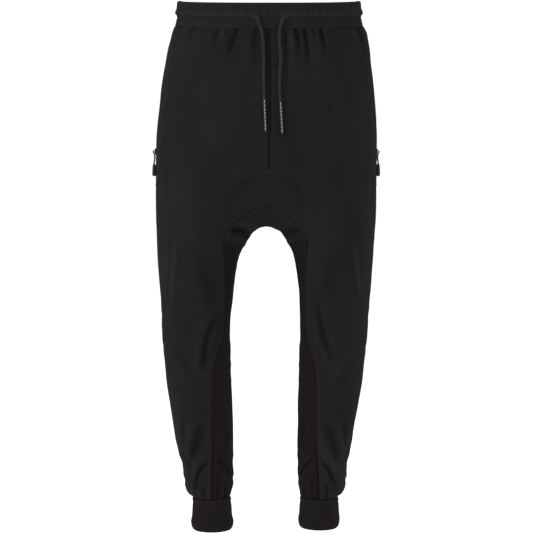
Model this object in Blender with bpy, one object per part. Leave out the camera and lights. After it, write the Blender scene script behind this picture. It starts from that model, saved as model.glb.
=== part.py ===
"""Drop-crotch joggers, worn shape with no wearer, built as the pieces that are cut and sewn.

Everything is worked out in millimetres in a straight frame (x to the wearer's left, y to the back,
drop = how far below the top of the waistband) and then placed: the waist leans forward, the legs
lean a little to one side, and millimetres become metres.  The origin is the middle of the waist
opening, +Z up, and the front faces -Y.
"""
import math

import bmesh
import bpy
import numpy as np

METRE = 0.001            # one millimetre, in metres
SEAM_GAP = 0.3           # cloth edges stand this far apart where they are sewn
CLOTH = 1.6              # wall of the body cloth
BAND_CLOTH = 2.6         # folded cloth and elastic of the waistband
RIB_CLOTH = 2.2          # doubled rib knit of the cuffs
BAND_HEIGHT = 47.0

# Half of the garment's outline at each drop.  crest_x is where front and back stand out most, and
# inner_* is the line where the outline starts: the middle of the body, then the inside of the leg.
# turn is the direction in which it starts there, from straight outwards (0) to straight forwards (90).
SECTION_COLUMNS = ("drop", "half_width", "side_y", "crest_x", "front_y", "back_y",
                   "inner_x", "inner_front_y", "inner_back_y", "turn")
SECTIONS = (
    (47, 177.0, 2, 26, -113, 115, 0.0, -113, 115, 0),
    (60, 183.9, 2, 28, -116, 119, 0.0, -116, 119, 0),
    (72, 186.6, 2, 30, -118, 122, 0.0, -118, 122, 0),
    (90, 190.4, 2, 32, -121, 127, 0.0, -121, 127, 0),
    (110, 193.3, 2, 35, -123, 131, 0.0, -123, 131, 0),
    (147, 198.7, 2, 40, -127, 138, 0.0, -127, 138, 0),
    (185, 202.3, 2, 47, -130, 142, 0.0, -130, 142, 0),
    (223, 205.8, 2, 56, -132, 144, 0.0, -132, 144, 0),
    (261, 207.8, 2, 68, -133, 144, 0.0, -133, 144, 0),
    (300, 208.0, 2, 84, -133, 142, 0.0, -131, 139, 0),
    (336, 207.9, 2, 98, -131, 138, 0.0, -126, 131, 0),
    (360, 207.8, 2, 107, -128, 134, 0.0, -118, 124, 0),
    (384, 207.5, 2, 114, -125, 130, 0.0, -108, 114, 0),
    (412, 207.0, 2, 121, -121, 126, 4.0, -94, 100, 12),
    (430, 206.0, 2, 124, -118, 123, 14.0, -76, 84, 34),
    (448, 205.0, 3, 126, -115, 121, 30.0, -52, 60, 56),
    (470, 203.6, 3, 128, -111, 117, 45.0, -24, 32, 76),
    (490, 202.3, 3, 129, -107, 113, 54.5, 3, 3, 90),
    (525, 199.5, 3, 130, -101, 106, 60.3, 3, 3, 90),
    (563, 196.8, 3, 130.5, -95, 97, 63.9, 2, 2, 90),
    (601, 194.6, 2, 130.5, -89, 86, 66.2, 0, 0, 90),
    (639, 191.9, 0, 129, -85, 77, 66.3, -2, -2, 90),
    (677, 187.9, 0, 126.5, -79, 73, 65.0, -2, -2, 90),
    (714, 184.6, 2, 124, -73, 72, 63.9, 0, 0, 90),
    (752, 178.2, 4, 120.5, -67, 72, 62.6, 3, 3, 90),
    (790, 172.0, 6, 117, -62, 73, 61.9, 5, 5, 90),
    (828, 165.6, 7, 113.4, -58, 72, 61.3, 7, 7, 90),
    (866, 157.4, 7, 109, -53, 66, 61.3, 7, 7, 90),
    (885, 153.8, 7, 107.5, -49, 61, 61.6, 6, 6, 90),
    (903, 151.4, 6, 107, -46, 57, 62.2, 6, 6, 90),
    (922, 146.8, 6, 106, -42, 52, 64.6, 5, 5, 90),
    (930, 142.2, 5, 104.5, -39, 48, 66.2, 5, 5, 90),
    (937, 137.9, 5, 102, -36.5, 46, 66.5, 5, 5, 90),
    (943, 136.9, 5, 101.8, -36, 45.5, 66.4, 5, 5, 90),
    (953, 137.7, 5, 101.3, -36.5, 46, 64.9, 5, 5, 90),
    (968, 138.6, 5, 101.2, -37, 47, 64.0, 5, 5, 90),
    (980, 139.8, 5, 100.8, -38.5, 48.5, 61.9, 5, 5, 90),
    (988, 138.8, 5, 100.8, -37.8, 47.8, 62.6, 5, 5, 90),
    (994, 135.6, 5, 100.8, -34.6, 44.6, 65.6, 5, 5, 90),
)

# The waistband's outline: a rounded top, the cord channel's roll, its sewn groove and a plain foot.
BAND_COLUMNS = ("drop", "half_width", "front_y", "back_y", "gather")
BAND = (
    (0.0, 171.2, -107.4, 107.4, 0.4),
    (3.0, 172.9, -109.2, 109.4, 0.6),
    (13.0, 173.8, -110.2, 110.6, 1.0),
    (22.5, 175.5, -111.6, 112.0, 1.0),
    (30.0, 173.4, -109.9, 110.6, 0.8),
    (37.0, 174.6, -111.0, 112.2, 1.0),
    (46.85, 177.0, -113.0, 115.0, 1.0),
)
BAND_CREST_X = 26.0
BAND_SIDE_Y = 2.0
GATHER_COUNT = 96
GATHER_DEPTH = 1.5
INNER_COLUMNS = GATHER_COUNT // 2

# The seam where the long panels meet the inner panel: an arc below the middle of the body, then a
# line down the inside of the leg.  The arc is a superellipse of this half width, height and power.
ARC_TOP = 384.0
ARC_HALF_WIDTH = 77.7
ARC_HEIGHT = 64.0
ARC_POWER = 1.5
SEAM_COLUMNS = ("drop", "x")
SEAM = ((448, 77.7), (476, 76.2), (525, 74.2), (585, 74.4), (620, 76.2), (652, 85.0), (684, 93.0),
        (705, 95.2), (760, 96.2), (850, 97.0), (885, 99.4), (937, 100.2))

# The middle of the inner panel: the arch between the legs at the arc's steps, then the inner leg.
ARCH_COLUMNS = ("turn", "drop", "x", "y")
ARCH = ((0, 424.0, 0.0, 4.0), (18, 425.6, 13.5, 4.0), (36, 430.6, 25.5, 4.0), (54, 442.5, 34.2, 3.5),
        (72, 460.0, 43.6, 3.2), (90, 480.0, 51.6, 3.0))
ARCH_LAG = 32.0          # below the arc the middle hangs this much lower than the seam, fading out
ARCH_LAG_START = 448.0
ARCH_LAG_END = 650.0

ARC_TURNS = (0, 18, 36, 54, 72, 90)
BODY_ROWS = (47.15, 60, 76, 98, 130, 172, 218, 265, 310, 350)
LEG_ROWS = (474, 504, 540, 578, 614, 648, 684, 722, 760, 798, 834, 862, 886, 906, 922, 936.85)

# Columns of the front panels, by the length along the waist seam from the middle, so that each
# gather below the band has a column in its trough and one on either side.
FRONT_LEFT_COLUMNS = (0, 20, 38, 49, 56, 64, 72, 80, 87, 95, 108, 132, 160, 180, 205, 1000)
FRONT_RIGHT_COLUMNS = (0, 18, 26, 35, 48, 56, 63, 72, 82, 95, 106, 128, 146, 158, 172, 200, 1000)
BACK_COLUMNS = (0, 22, 36, 50, 70, 84, 98, 122, 138, 154, 178, 205, 1000)

# Gathers that run down from the band: place along it, drop where they end, depth, half width and how
# much they slant away from the middle on the way.
GATHERS = {
    "front_left": ((49, 125, 4.0, 9, 1), (64, 150, 3.6, 8, 2), (80, 90, 3.0, 7, 0),
                   (95, 110, 4.2, 9, 4), (180, 110, 2.6, 16, 8)),
    "front_right": ((26, 150, 3.0, 10, -3), (56, 110, 3.2, 8, 12), (72, 100, 3.0, 9, -4),
                    (95, 105, 3.2, 10, 2), (158, 85, 3.0, 12, 6)),
    "back_left": ((36, 120, 3.0, 13, 2), (84, 140, 3.6, 13, 3), (138, 110, 3.2, 14, 4)),
    "back_right": ((36, 140, 3.4, 13, 3), (84, 110, 3.0, 13, 2), (138, 130, 3.4, 14, 5)),
}

# Large folds, as lines across the cloth seen from the front or back: x from the middle and drop of
# one end, the same of the other, then half width and depth.  A negative depth is a ridge.
FOLDS = {
    "front": ((96, 590, 112, 668, 20, 4.0), (168, 440, 172, 580, 26, -3.0),
              (118, 800, 134, 872, 18, 4.5), (108, 872, 128, 930, 15, 4.5),
              (146, 812, 150, 862, 16, 3.0), (150, 640, 172, 610, 20, 3.0)),
    "back": ((88, 650, 168, 628, 20, 4.5), (92, 690, 160, 672, 18, 3.5), (90, 850, 140, 872, 16, 3.5),
             (84, 905, 132, 890, 14, 3.0), (84, 470, 150, 428, 24, 4.0)),
}

# Side zips: a tape in a shallow valley along the side seam, a facing in front of it, slider, pull.
ZIP_TOP = 96.0
ZIP_END = 296.0
ZIP_HALF_WIDTH = 7.5
TAPE = 0.8
FACING = 1.0
FACING_TOP = 60.0
FACING_END = 350.0
FACING_CORNER = 30.0     # its lower front corner is rounded over this height
FRONT_EDGE_COLUMNS = ("drop", "reach")
FRONT_EDGE = ((60, 54.0), (110, 60.0), (180, 68.0), (350, 69.0))    # along the cloth from the side seam
FACING_BACK = 9.5
FACING_FOOT = 8.0        # what is left of its width at the bottom
LIFT = 0.45              # what lies on a panel clears it by this
VALLEY_DEPTH = 1.8
VALLEY_HALF_WIDTH = 14.0
VALLEY_MIDDLE = 205.0
VALLEY_HALF_LENGTH = 105.0
VALLEY_FADE = 55.0
HINGE_DROP = 284.0
HINGE_OUT = 4.0          # beyond the body's half width
SLIDER_LENGTH = 12.0
SLIDER_WIDTH = 8.4
SLIDER_HEIGHT = 2.2
SLIDER_SEAT = 0.8        # the flat foot clears the curved tape by this at its middle
BRIDGE_WIDTH = 2.4
BRIDGE_HALF_LENGTH = 4.2
BRIDGE_HEIGHT = 4.0
BRIDGE_WALL = 0.9
LOOP_RADIUS = 0.9
LOOP_HALF_WIDTH = 2.9
LOOP_LENGTH = 22.0
GRIP_LENGTH = 22.0
GRIP_WIDTH = 8.6
GRIP_THICKNESS = 6.2

# Drawcords: points chosen by hand on the front, as x, drop and how far the middle stands off.
CORD_RADIUS = 2.9
TIP_RADIUS = 3.15
TIP_LENGTH = 62.0
CORDS = {
    "right": ((-21.5, 26.5, 2.9), (-20.5, 31.5, 5.6), (-17.5, 39.5, 6.2), (-13.5, 52.0, 5.6),
              (-11.2, 68.0, 3.9), (-10.2, 90.0, 3.4), (-9.5, 115.0, 3.4), (-8.7, 140.0, 3.4),
              (-7.6, 163.0, 3.4), (-6.0, 184.0, 3.5)),
    "left": ((25.5, 28.0, 2.9), (24.0, 33.0, 5.6), (20.8, 41.0, 6.2), (18.6, 54.0, 5.6),
             (18.6, 70.0, 3.9), (20.8, 92.0, 3.4), (21.4, 112.0, 3.4), (20.2, 138.0, 3.4),
             (20.8, 163.0, 3.4), (23.4, 188.0, 3.5)),
}
TIP_ENDS = {"right": (-1.8, 246.0, 3.5), "left": (28.6, 250.0, 3.5)}

# How the straight frame leans, by drop: the waist opening tips forward, the legs drift sideways.
TILT_COLUMNS = ("drop", "tilt")
TILT = ((0, 0.125), (60, 0.12), (150, 0.06), (260, 0.0), (1000, 0.0))
BACK_TIP = 0.2           # the back of the waist rises this share of what the front falls
TIP_EASE = 15.0
LEAN_COLUMNS = ("drop", "lean")
LEAN = ((0, 0.0), (80, 0.0), (260, -5.0), (450, -6.8), (800, -9.0), (900, -7.4), (1000, -7.0))

COLOURS = {
    "body_cloth": (0.013, 0.013, 0.015), "inner_cloth": (0.009, 0.008, 0.010),
    "rib_knit": (0.011, 0.010, 0.012), "band_cloth": (0.014, 0.014, 0.016),
    "zip_tape": (0.010, 0.010, 0.011), "zip_metal": (0.020, 0.020, 0.022),
    "pull_rubber": (0.012, 0.012, 0.013), "cord_braid": (0.022, 0.022, 0.024),
    "cord_tip": (0.012, 0.012, 0.013),
}


# ---- curves through the tables ---------------------------------------------------------------

def column(rows, names, name):
    """One named column of a table."""
    return np.array([row[names.index(name)] for row in rows], dtype=float)


def smooth_line(xs, ys):
    """A smooth function through points that never swings past them."""
    step = np.diff(xs)
    rise = np.diff(ys) / step
    slope = np.concatenate(([rise[0]], np.zeros(len(xs) - 2), [rise[-1]]))
    for i in range(1, len(xs) - 1):
        if rise[i - 1] * rise[i] > 0:
            before, after = 2 * step[i] + step[i - 1], step[i] + 2 * step[i - 1]
            slope[i] = (before + after) / (before / rise[i - 1] + after / rise[i])

    def at(x):
        x = np.clip(x, xs[0], xs[-1])
        i = np.clip(np.searchsorted(xs, x) - 1, 0, len(step) - 1)
        t = (x - xs[i]) / step[i]
        return ((1 + 2 * t) * (1 - t) ** 2 * ys[i] + t * (1 - t) ** 2 * step[i] * slope[i]
                + t * t * (3 - 2 * t) * ys[i + 1] + t * t * (t - 1) * step[i] * slope[i + 1])
    return at


def lines_of(rows, names):
    """Every column of a table as a smooth function of its first one."""
    xs = column(rows, names, names[0])
    return {name: smooth_line(xs, column(rows, names, name)) for name in names[1:]}


SECTION = lines_of(SECTIONS, SECTION_COLUMNS)
BAND_LINE = lines_of(BAND, BAND_COLUMNS)
SEAM_X = lines_of(SEAM, SEAM_COLUMNS)["x"]
ARCH_LINE = lines_of(ARCH, ARCH_COLUMNS)
TILT_AT = lines_of(TILT, TILT_COLUMNS)["tilt"]
LEAN_AT = lines_of(LEAN, LEAN_COLUMNS)["lean"]
FRONT_EDGE_AT = lines_of(FRONT_EDGE, FRONT_EDGE_COLUMNS)["reach"]


def hump(t):
    """A soft bell: 1 at 0, 0 from 1 on."""
    t = np.clip(np.abs(t), 0, 1)
    return 0.5 + 0.5 * np.cos(np.pi * t)


def bezier(a, b, c, d, count):
    t = np.linspace(0, 1, count)[:, None]
    return (1 - t) ** 3 * a + 3 * t * (1 - t) ** 2 * b + 3 * t * t * (1 - t) * c + t ** 3 * d


# ---- the outline at a drop -------------------------------------------------------------------

OUTLINE_POWER = 2.1
DENSE = 90               # points on each part of a quarter outline
SHARE_STEP = 0.012       # how far either way along and down the outline a direction is read
DROP_STEP = 2.0


def half_outline(drop, face):
    """Dense points of one quarter of the outline, from its inner start round to the side seam."""
    crest = np.array([SECTION["crest_x"](drop), SECTION[face + "_y"](drop)])
    start = np.array([SECTION["inner_x"](drop), SECTION["inner_" + face + "_y"](drop)])
    side = np.array([SECTION["half_width"](drop), SECTION["side_y"](drop)])
    turn = math.radians(float(SECTION["turn"](drop)))
    outwards = -1 if face == "front" else 1
    reach = np.abs(crest - start)
    pull = 0.55 * (reach[0] * math.cos(turn) + reach[1] * math.sin(turn))
    first = start + pull * np.array([math.cos(turn), outwards * math.sin(turn)])
    last = crest - np.array([0.5 * reach[0], 0.0])
    inner = bezier(start, first, last, crest, DENSE)
    angle = np.linspace(0, np.pi / 2, DENSE)[1:, None]
    across = np.sin(angle) ** (2 / OUTLINE_POWER) * (side[0] - crest[0])
    along = (1 - np.abs(np.cos(angle)) ** (2 / OUTLINE_POWER)) * (side[1] - crest[1])
    outer = crest + np.hstack((across, along))
    return np.vstack((inner, outer))


def lengths(points):
    """How far along a line each of its points lies."""
    return np.concatenate(([0.0], np.cumsum(np.linalg.norm(np.diff(points, axis=0), axis=1))))


def along_outline(drop, face, shares):
    """Points at shares of the outline's length, as x, y and drop."""
    points = half_outline(drop, face)
    run = lengths(points)
    at = np.asarray(shares) * run[-1]
    x = np.interp(at, run, points[:, 0])
    y = np.interp(at, run, points[:, 1])
    return np.stack((x, y, np.full(len(at), float(drop))), axis=1)


def normals_at(drop, face, shares):
    """Outward directions of the smooth outline at the same places."""
    shares = np.asarray(shares)
    across = (along_outline(drop, face, np.clip(shares + SHARE_STEP, 0, 1))
              - along_outline(drop, face, np.clip(shares - SHARE_STEP, 0, 1)))
    down = along_outline(drop + DROP_STEP, face, shares) - along_outline(drop - DROP_STEP, face, shares)
    normal = np.cross(across, down) if face == "front" else np.cross(down, across)
    return normal / np.linalg.norm(normal, axis=1)[:, None]


def share_at_x(drop, face, x):
    """The share of the outline's length at which it reaches this x."""
    points = half_outline(drop, face)
    run = lengths(points)
    return float(np.interp(x, points[:, 0], run / run[-1]))


def outline_length(drop, face):
    return float(lengths(half_outline(drop, face))[-1])


# ---- rows of the panels ----------------------------------------------------------------------

def arc_point(turn):
    """The seam's arc: x and drop at an angle from its top."""
    angle = math.radians(turn)
    x = ARC_HALF_WIDTH * math.sin(angle) ** (2 / ARC_POWER)
    fall = ARC_HEIGHT * (1 - max(math.cos(angle), 0.0) ** (2 / ARC_POWER))
    return x, ARC_TOP + fall


def panel_rows():
    """Drop and seam x of each row of a long panel, waist to ankle."""
    body = [(drop, 0.0) for drop in BODY_ROWS]
    arc = [(arc_point(turn)[1], arc_point(turn)[0]) for turn in ARC_TURNS]
    leg = [(drop, float(SEAM_X(drop))) for drop in LEG_ROWS]
    return body + arc + leg


def middle_rows():
    """The inner panel's middle line, a point for each row from the arc's top down."""
    arch = [np.array([ARCH_LINE["x"](turn), ARCH_LINE["y"](turn), ARCH_LINE["drop"](turn)])
            for turn in ARC_TURNS]
    leg = []
    for drop in LEG_ROWS:
        fade = hump((drop - ARCH_LAG_START) / (ARCH_LAG_END - ARCH_LAG_START))
        low = drop + ARCH_LAG * fade
        leg.append(np.array([SECTION["inner_x"](low), SECTION["inner_front_y"](low), low]))
    return arch + leg


# ---- relief: gathers and large folds ---------------------------------------------------------

def gather_relief(panel, places, drop):
    """How far the gathers below the band press the cloth in, at places along the waist seam."""
    relief = np.zeros(len(places))
    for place, end, depth, half_width, slant in GATHERS[panel]:
        fade = hump((drop - BAND_HEIGHT) / (end - BAND_HEIGHT))
        shift = slant * (drop - BAND_HEIGHT) / (end - BAND_HEIGHT)
        relief += depth * fade * hump((places - place - shift) / half_width)
    return relief


def fold_relief(face, points):
    """How far the large folds press the cloth in, at points given by x and drop."""
    relief = np.zeros(len(points))
    flat = points[:, [0, 2]]
    for x1, drop1, x2, drop2, half_width, depth in FOLDS[face]:
        start, end = np.array([x1, drop1]), np.array([x2, drop2])
        run = end - start
        share = np.clip((flat - start) @ run / (run @ run), 0, 1)
        away = np.linalg.norm(flat - start - share[:, None] * run, axis=1)
        taper = 0.35 + 0.65 * hump(2 * share - 1)
        relief += depth * taper * hump(away / half_width)
    return relief


def valley_relief(shares, drop, length):
    """The shallow valley along the side seam that the zip lies in."""
    away = (1 - shares) * length / VALLEY_HALF_WIDTH
    past = max(abs(drop - VALLEY_MIDDLE) - VALLEY_HALF_LENGTH, 0.0)
    return VALLEY_DEPTH * hump(away) * hump(past / VALLEY_FADE)


# ---- building walls --------------------------------------------------------------------------

def tipped(y):
    """How far a place is tipped with the waist: in full at the front, hardly at the back."""
    behind = np.maximum(y, 0.0)
    eased = BACK_TIP * behind + (1 - BACK_TIP) * TIP_EASE * (1 - np.exp(-behind / TIP_EASE))
    return np.minimum(y, 0.0) + eased


def placed(points):
    """Straight millimetres (x, y, drop) to metres in the garment's leaning frame."""
    points = np.asarray(points, dtype=float)
    x, y, drop = points[..., 0], points[..., 1], points[..., 2]
    return np.stack((x + LEAN_AT(drop), y, -drop + TILT_AT(drop) * tipped(y)), axis=-1) * METRE


def mirrored(points):
    return np.asarray(points) * np.array([-1.0, 1.0, 1.0])


def unit(vectors):
    return vectors / np.linalg.norm(vectors, axis=-1)[..., None]


def material_for(name):
    found = bpy.data.materials.get(name)
    if found:
        return found
    made = bpy.data.materials.new(name)
    made.use_nodes = True
    shader = made.node_tree.nodes["Principled BSDF"]
    shader.inputs["Base Color"].default_value = (*COLOURS[name], 1.0)
    shader.inputs["Roughness"].default_value = 0.4 if name in ("zip_metal", "cord_tip") else 0.8
    shader.inputs["Metallic"].default_value = 0.8 if name == "zip_metal" else 0.0
    return made


def add_object(name, mesh, material):
    mesh.materials.append(material_for(material))
    mesh.shade_smooth()
    mesh.set_sharp_from_angle(angle=math.radians(40))
    made = bpy.data.objects.new(name, mesh)
    bpy.context.scene.collection.objects.link(made)
    return made


def mesh_from(name, points, faces, material):
    """A closed mesh from placed points and faces, all facing out."""
    mesh = bpy.data.meshes.new(name)
    mesh.from_pydata([tuple(p) for p in points], [], faces)
    work = bmesh.new()
    work.from_mesh(mesh)
    bmesh.ops.recalc_face_normals(work, faces=work.faces)
    work.to_mesh(mesh)
    work.free()
    return add_object(name, mesh, material)


def panel_wall(name, outer, normals, thickness, material):
    """A wall on a grid of outer points: rows by columns, closed by a rim all round."""
    inner = outer - normals * thickness
    rows, columns = outer.shape[:2]
    points = np.vstack((placed(outer).reshape(-1, 3), placed(inner).reshape(-1, 3)))
    under = rows * columns

    def at(row, col):
        return row * columns + col
    faces = []
    for row in range(rows - 1):
        for col in range(columns - 1):
            corners = (at(row, col), at(row, col + 1), at(row + 1, col + 1), at(row + 1, col))
            faces.append(corners)
            faces.append(tuple(under + corner for corner in reversed(corners)))
    edge = ([at(0, col) for col in range(columns)]
            + [at(row, columns - 1) for row in range(1, rows)]
            + [at(rows - 1, col) for col in range(columns - 2, -1, -1)]
            + [at(row, 0) for row in range(rows - 2, 0, -1)])
    for here, there in zip(edge, edge[1:] + edge[:1]):
        faces.append((there, here, under + here, under + there))
    return mesh_from(name, points, faces, material)


def tube_wall(name, outer, inner, material):
    """A tube's wall: rings of outer points, and rings inside with a whole share of their count."""
    ratio = outer.shape[1] // inner.shape[1]
    points = np.vstack((placed(outer).reshape(-1, 3), placed(inner).reshape(-1, 3)))
    outer_count, inner_count = outer.shape[1], inner.shape[1]
    under = outer.shape[0] * outer_count
    faces = []
    for rings, count, base in ((outer.shape[0], outer_count, 0), (inner.shape[0], inner_count, under)):
        for ring in range(rings - 1):
            for col in range(count):
                upper, lower = base + ring * count, base + (ring + 1) * count
                corners = (upper + col, upper + (col + 1) % count, lower + (col + 1) % count, lower + col)
                faces.append(corners if base == 0 else tuple(reversed(corners)))
    for outer_ring, inner_ring, flip in ((0, 0, False), (outer.shape[0] - 1, inner.shape[0] - 1, True)):
        for col in range(inner_count):
            here = under + inner_ring * inner_count + col
            there = under + inner_ring * inner_count + (col + 1) % inner_count
            fan = [outer_ring * outer_count + (col * ratio + k) % outer_count for k in range(ratio + 1)]
            face = [here, there] + fan[::-1]
            faces.append(face if flip else face[::-1])
    return mesh_from(name, points, faces, material)


# ---- the long panels -------------------------------------------------------------------------

def column_shares(places, face):
    """Places along the waist seam as shares of the way from the inner seam to the side seam."""
    length = outline_length(BAND_HEIGHT, face)
    inside = [place / length for place in places[:-1]]
    return np.array(inside + [1.0])


def panel_grid(panel, places):
    """Outer points and normals of a long panel on the wearer's left, before it is mirrored."""
    face = panel.split("_")[0]
    shares = column_shares(places, face)
    rows = panel_rows()
    grid, normals = [], []
    for drop, seam_x in rows:
        length = outline_length(drop, face)
        first = share_at_x(drop, face, seam_x)
        across = first + (1 - first) * shares
        across[-1] = 1 - 0.5 * SEAM_GAP / length
        points = along_outline(drop, face, across)
        normal = normals_at(drop, face, across)
        waist_places = shares * outline_length(BAND_HEIGHT, face)
        relief = (gather_relief(panel, waist_places, drop) + fold_relief(face, points)
                  + valley_relief(across, drop, length))
        relief[0] = 0.0
        if drop == rows[-1][0]:
            relief[:] = 0.0
        points -= normal * relief[:, None]
        normal[-1] = unit(normal[-1] * np.array([1.0, 0.0, 1.0]))
        if seam_x == 0.0:
            normal[0] = unit(normal[0] * np.array([0.0, 1.0, 1.0]))
        grid.append(points)
        normals.append(normal)
    grid, normals = np.array(grid), np.array(normals)
    for row in (0, -1):
        normals[row] = unit(normals[row] * np.array([1.0, 1.0, 0.0]))
    inward = seam_directions(grid[:, 0], normals[:, 0])
    grid[:, 0] += 0.5 * SEAM_GAP * inward
    return grid, normals


def seam_directions(line, normals):
    """Unit steps from the inner seam into the panel, in the cloth's own plane."""
    arc_row = len(BODY_ROWS)
    steps = np.zeros_like(line)
    for row in range(len(line)):
        before, after = line[max(row - 1, 0)], line[min(row + 1, len(line) - 1)]
        if row < arc_row:
            steps[row] = (1.0, 0.0, 0.0)
            continue
        if row == arc_row:
            steps[row] = (1.0, 0.0, -1.0)
            continue
        seam = unit(after - before)
        step = np.cross(seam, normals[row])
        steps[row] = unit(step) * (1.0 if step[0] >= 0 else -1.0)
    return steps


def seam_row(face):
    """The inner seam itself: points, normals and steps into the panel, arc's top to ankle."""
    line, normals = [], []
    rows = panel_rows()
    for drop, seam_x in rows:
        share = np.array([share_at_x(drop, face, seam_x)])
        line.append(along_outline(drop, face, share)[0])
        normals.append(normals_at(drop, face, share)[0])
    line, normals = np.array(line), np.array(normals)
    normals[-1] = unit(normals[-1] * np.array([1.0, 1.0, 0.0]))
    arc_row = len(BODY_ROWS)
    normals[arc_row] = unit(normals[arc_row] * np.array([0.0, 1.0, 1.0]))
    steps = seam_directions(line, normals)
    steps[arc_row] = unit(np.cross((1.0, 0.0, 0.0), normals[arc_row]))
    if steps[arc_row][2] > 0:
        steps[arc_row] *= -1.0
    return line[arc_row:], normals[arc_row:], steps[arc_row:]


def long_panel(panel, side, places):
    grid, normals = panel_grid(panel, places)
    if side == "right":
        grid, normals = mirrored(grid), mirrored(normals)
    return panel_wall(panel, grid, normals, CLOTH, "body_cloth")


# ---- the inner panel: one piece from cuff to cuff over the crotch ----------------------------

CROSS_STEPS = 4          # columns from a seam to the panel's middle
CROSS_PULL = 0.75


def cross_line(start, start_step, middle):
    """Points from a seam down to the middle of the inner panel, smooth at both ends."""
    reach = np.linalg.norm(middle - start)
    towards = np.array([0.0, math.copysign(1.0, middle[1] - start[1]), 0.0])
    first = start - start_step * reach * CROSS_PULL / 2
    last = middle - towards * reach * CROSS_PULL / 2
    return bezier(start, first, last, middle, CROSS_STEPS + 1)


def inner_panel():
    front, front_normals, front_steps = seam_row("front")
    back, back_normals, back_steps = seam_row("back")
    middles = middle_rows()
    half = []
    for row in range(len(front)):
        start = front[row] - 0.5 * SEAM_GAP * front_steps[row]
        end = back[row] - 0.5 * SEAM_GAP * back_steps[row]
        middle = middles[row].copy()
        middle[2] = min(middle[2], LEG_ROWS[-1])
        forward = cross_line(start, front_steps[row], middle)
        rear = cross_line(end, back_steps[row], middle)[::-1]
        half.append(np.vstack((forward, rear[1:])))
    half = np.array(half)
    grid = np.concatenate((mirrored(half[:0:-1]), half))
    across = np.gradient(grid, axis=1)
    down = np.gradient(grid, axis=0)
    normals = unit(np.cross(across, down))
    middle_row, middle_col = len(half) - 1, CROSS_STEPS
    if normals[middle_row, middle_col, 2] < 0:
        normals = -normals
    full_front = np.concatenate((mirrored(front_normals[:0:-1]), front_normals))
    full_back = np.concatenate((mirrored(back_normals[:0:-1]), back_normals))
    normals[:, 0], normals[:, -1] = full_front, full_back
    for row in (0, -1):
        normals[row] = unit(normals[row] * np.array([1.0, 1.0, 0.0]))
    return panel_wall("inner_panel", grid, normals, CLOTH, "inner_cloth")


# ---- waistband and cuffs ---------------------------------------------------------------------

def ring_points(corners, count):
    """Evenly spaced points on a closed line through dense points."""
    closed = np.vstack((corners, corners[:1]))
    run = lengths(closed)
    at = np.linspace(0, run[-1], count, endpoint=False)
    return np.stack((np.interp(at, run, closed[:, 0]), np.interp(at, run, closed[:, 1])), axis=1)


def band_outline(half_width, front_y, back_y, count):
    """The waistband's ring, from the middle of the front round by the wearer's left."""
    angle = np.linspace(0, np.pi / 2, DENSE)
    across = BAND_CREST_X + np.sin(angle) ** (2 / OUTLINE_POWER) * (half_width - BAND_CREST_X)
    lean = 1 - np.abs(np.cos(angle)) ** (2 / OUTLINE_POWER)
    front = np.stack((across, front_y + lean * (BAND_SIDE_Y - front_y)), axis=1)
    back = np.stack((across, back_y + lean * (BAND_SIDE_Y - back_y)), axis=1)[::-1]
    half = np.vstack(([[0.0, front_y]], front, back[1:], [[0.0, back_y]]))
    other = (half * np.array([-1.0, 1.0]))[-2:0:-1]
    return ring_points(np.vstack((half, other)), count)


def ring_normals(ring):
    tangent = np.roll(ring, -1, axis=0) - np.roll(ring, 1, axis=0)
    normal = np.stack((-tangent[:, 1], tangent[:, 0]), axis=1)
    normal = unit(normal)
    return normal if np.sum(normal * ring) > 0 else -normal


def waistband():
    count = 2 * GATHER_COUNT
    drops = [row[0] for row in BAND]
    outer = []
    for drop, half_width, front_y, back_y, gather in BAND:
        ring = band_outline(half_width, front_y, back_y, count)
        normal = ring_normals(ring)
        order = np.arange(count)
        uneven = 0.75 + 0.25 * np.sin(order * 0.37) * np.cos(order * 0.11 + 1.0)
        press = np.where(order % 2 == 1, GATHER_DEPTH, 0.0) * gather * uneven
        ring = ring - normal * press[:, None]
        outer.append(np.column_stack((ring, np.full(count, drop))))
    inner = []
    for drop in drops[:1] + drops[2:]:
        half_width = BAND_LINE["half_width"](drop) - BAND_CLOTH
        front_y = BAND_LINE["front_y"](drop) + BAND_CLOTH
        back_y = BAND_LINE["back_y"](drop) - BAND_CLOTH
        ring = band_outline(float(half_width), float(front_y), float(back_y), INNER_COLUMNS)
        inner.append(np.column_stack((ring, np.full(INNER_COLUMNS, drop))))
    return tube_wall("waistband", np.array(outer), np.array(inner), "band_cloth")


CUFF_DROPS = (937.15, 940.5, 944.5, 953, 967, 980, 988, 992.5, 994)
CUFF_INNER_DROPS = (937.15, 953, 980, 994)
CUFF_COLUMNS = 24


def cuff_ring(drop, inset):
    """The cuff's ring at a drop, moved in from its outline."""
    dense = np.vstack((half_outline(drop, "front"), half_outline(drop, "back")[::-1][1:-1]))
    ring = ring_points(dense, CUFF_COLUMNS)
    middle = ring.mean(axis=0)
    normal = ring_normals(ring - middle)
    return np.column_stack((ring - normal * inset, np.full(CUFF_COLUMNS, drop)))


def cuff(side):
    outer = np.array([cuff_ring(drop, 1.0 if drop > 993 else 0.0) for drop in CUFF_DROPS])
    inner = np.array([cuff_ring(drop, RIB_CLOTH + (0.6 if drop > 993 else 0.0))
                      for drop in CUFF_INNER_DROPS])
    if side == "right":
        outer, inner = mirrored(outer), mirrored(inner)
    return tube_wall("cuff_" + side, outer, inner, "rib_knit")


# ---- side zips -------------------------------------------------------------------------------

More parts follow.
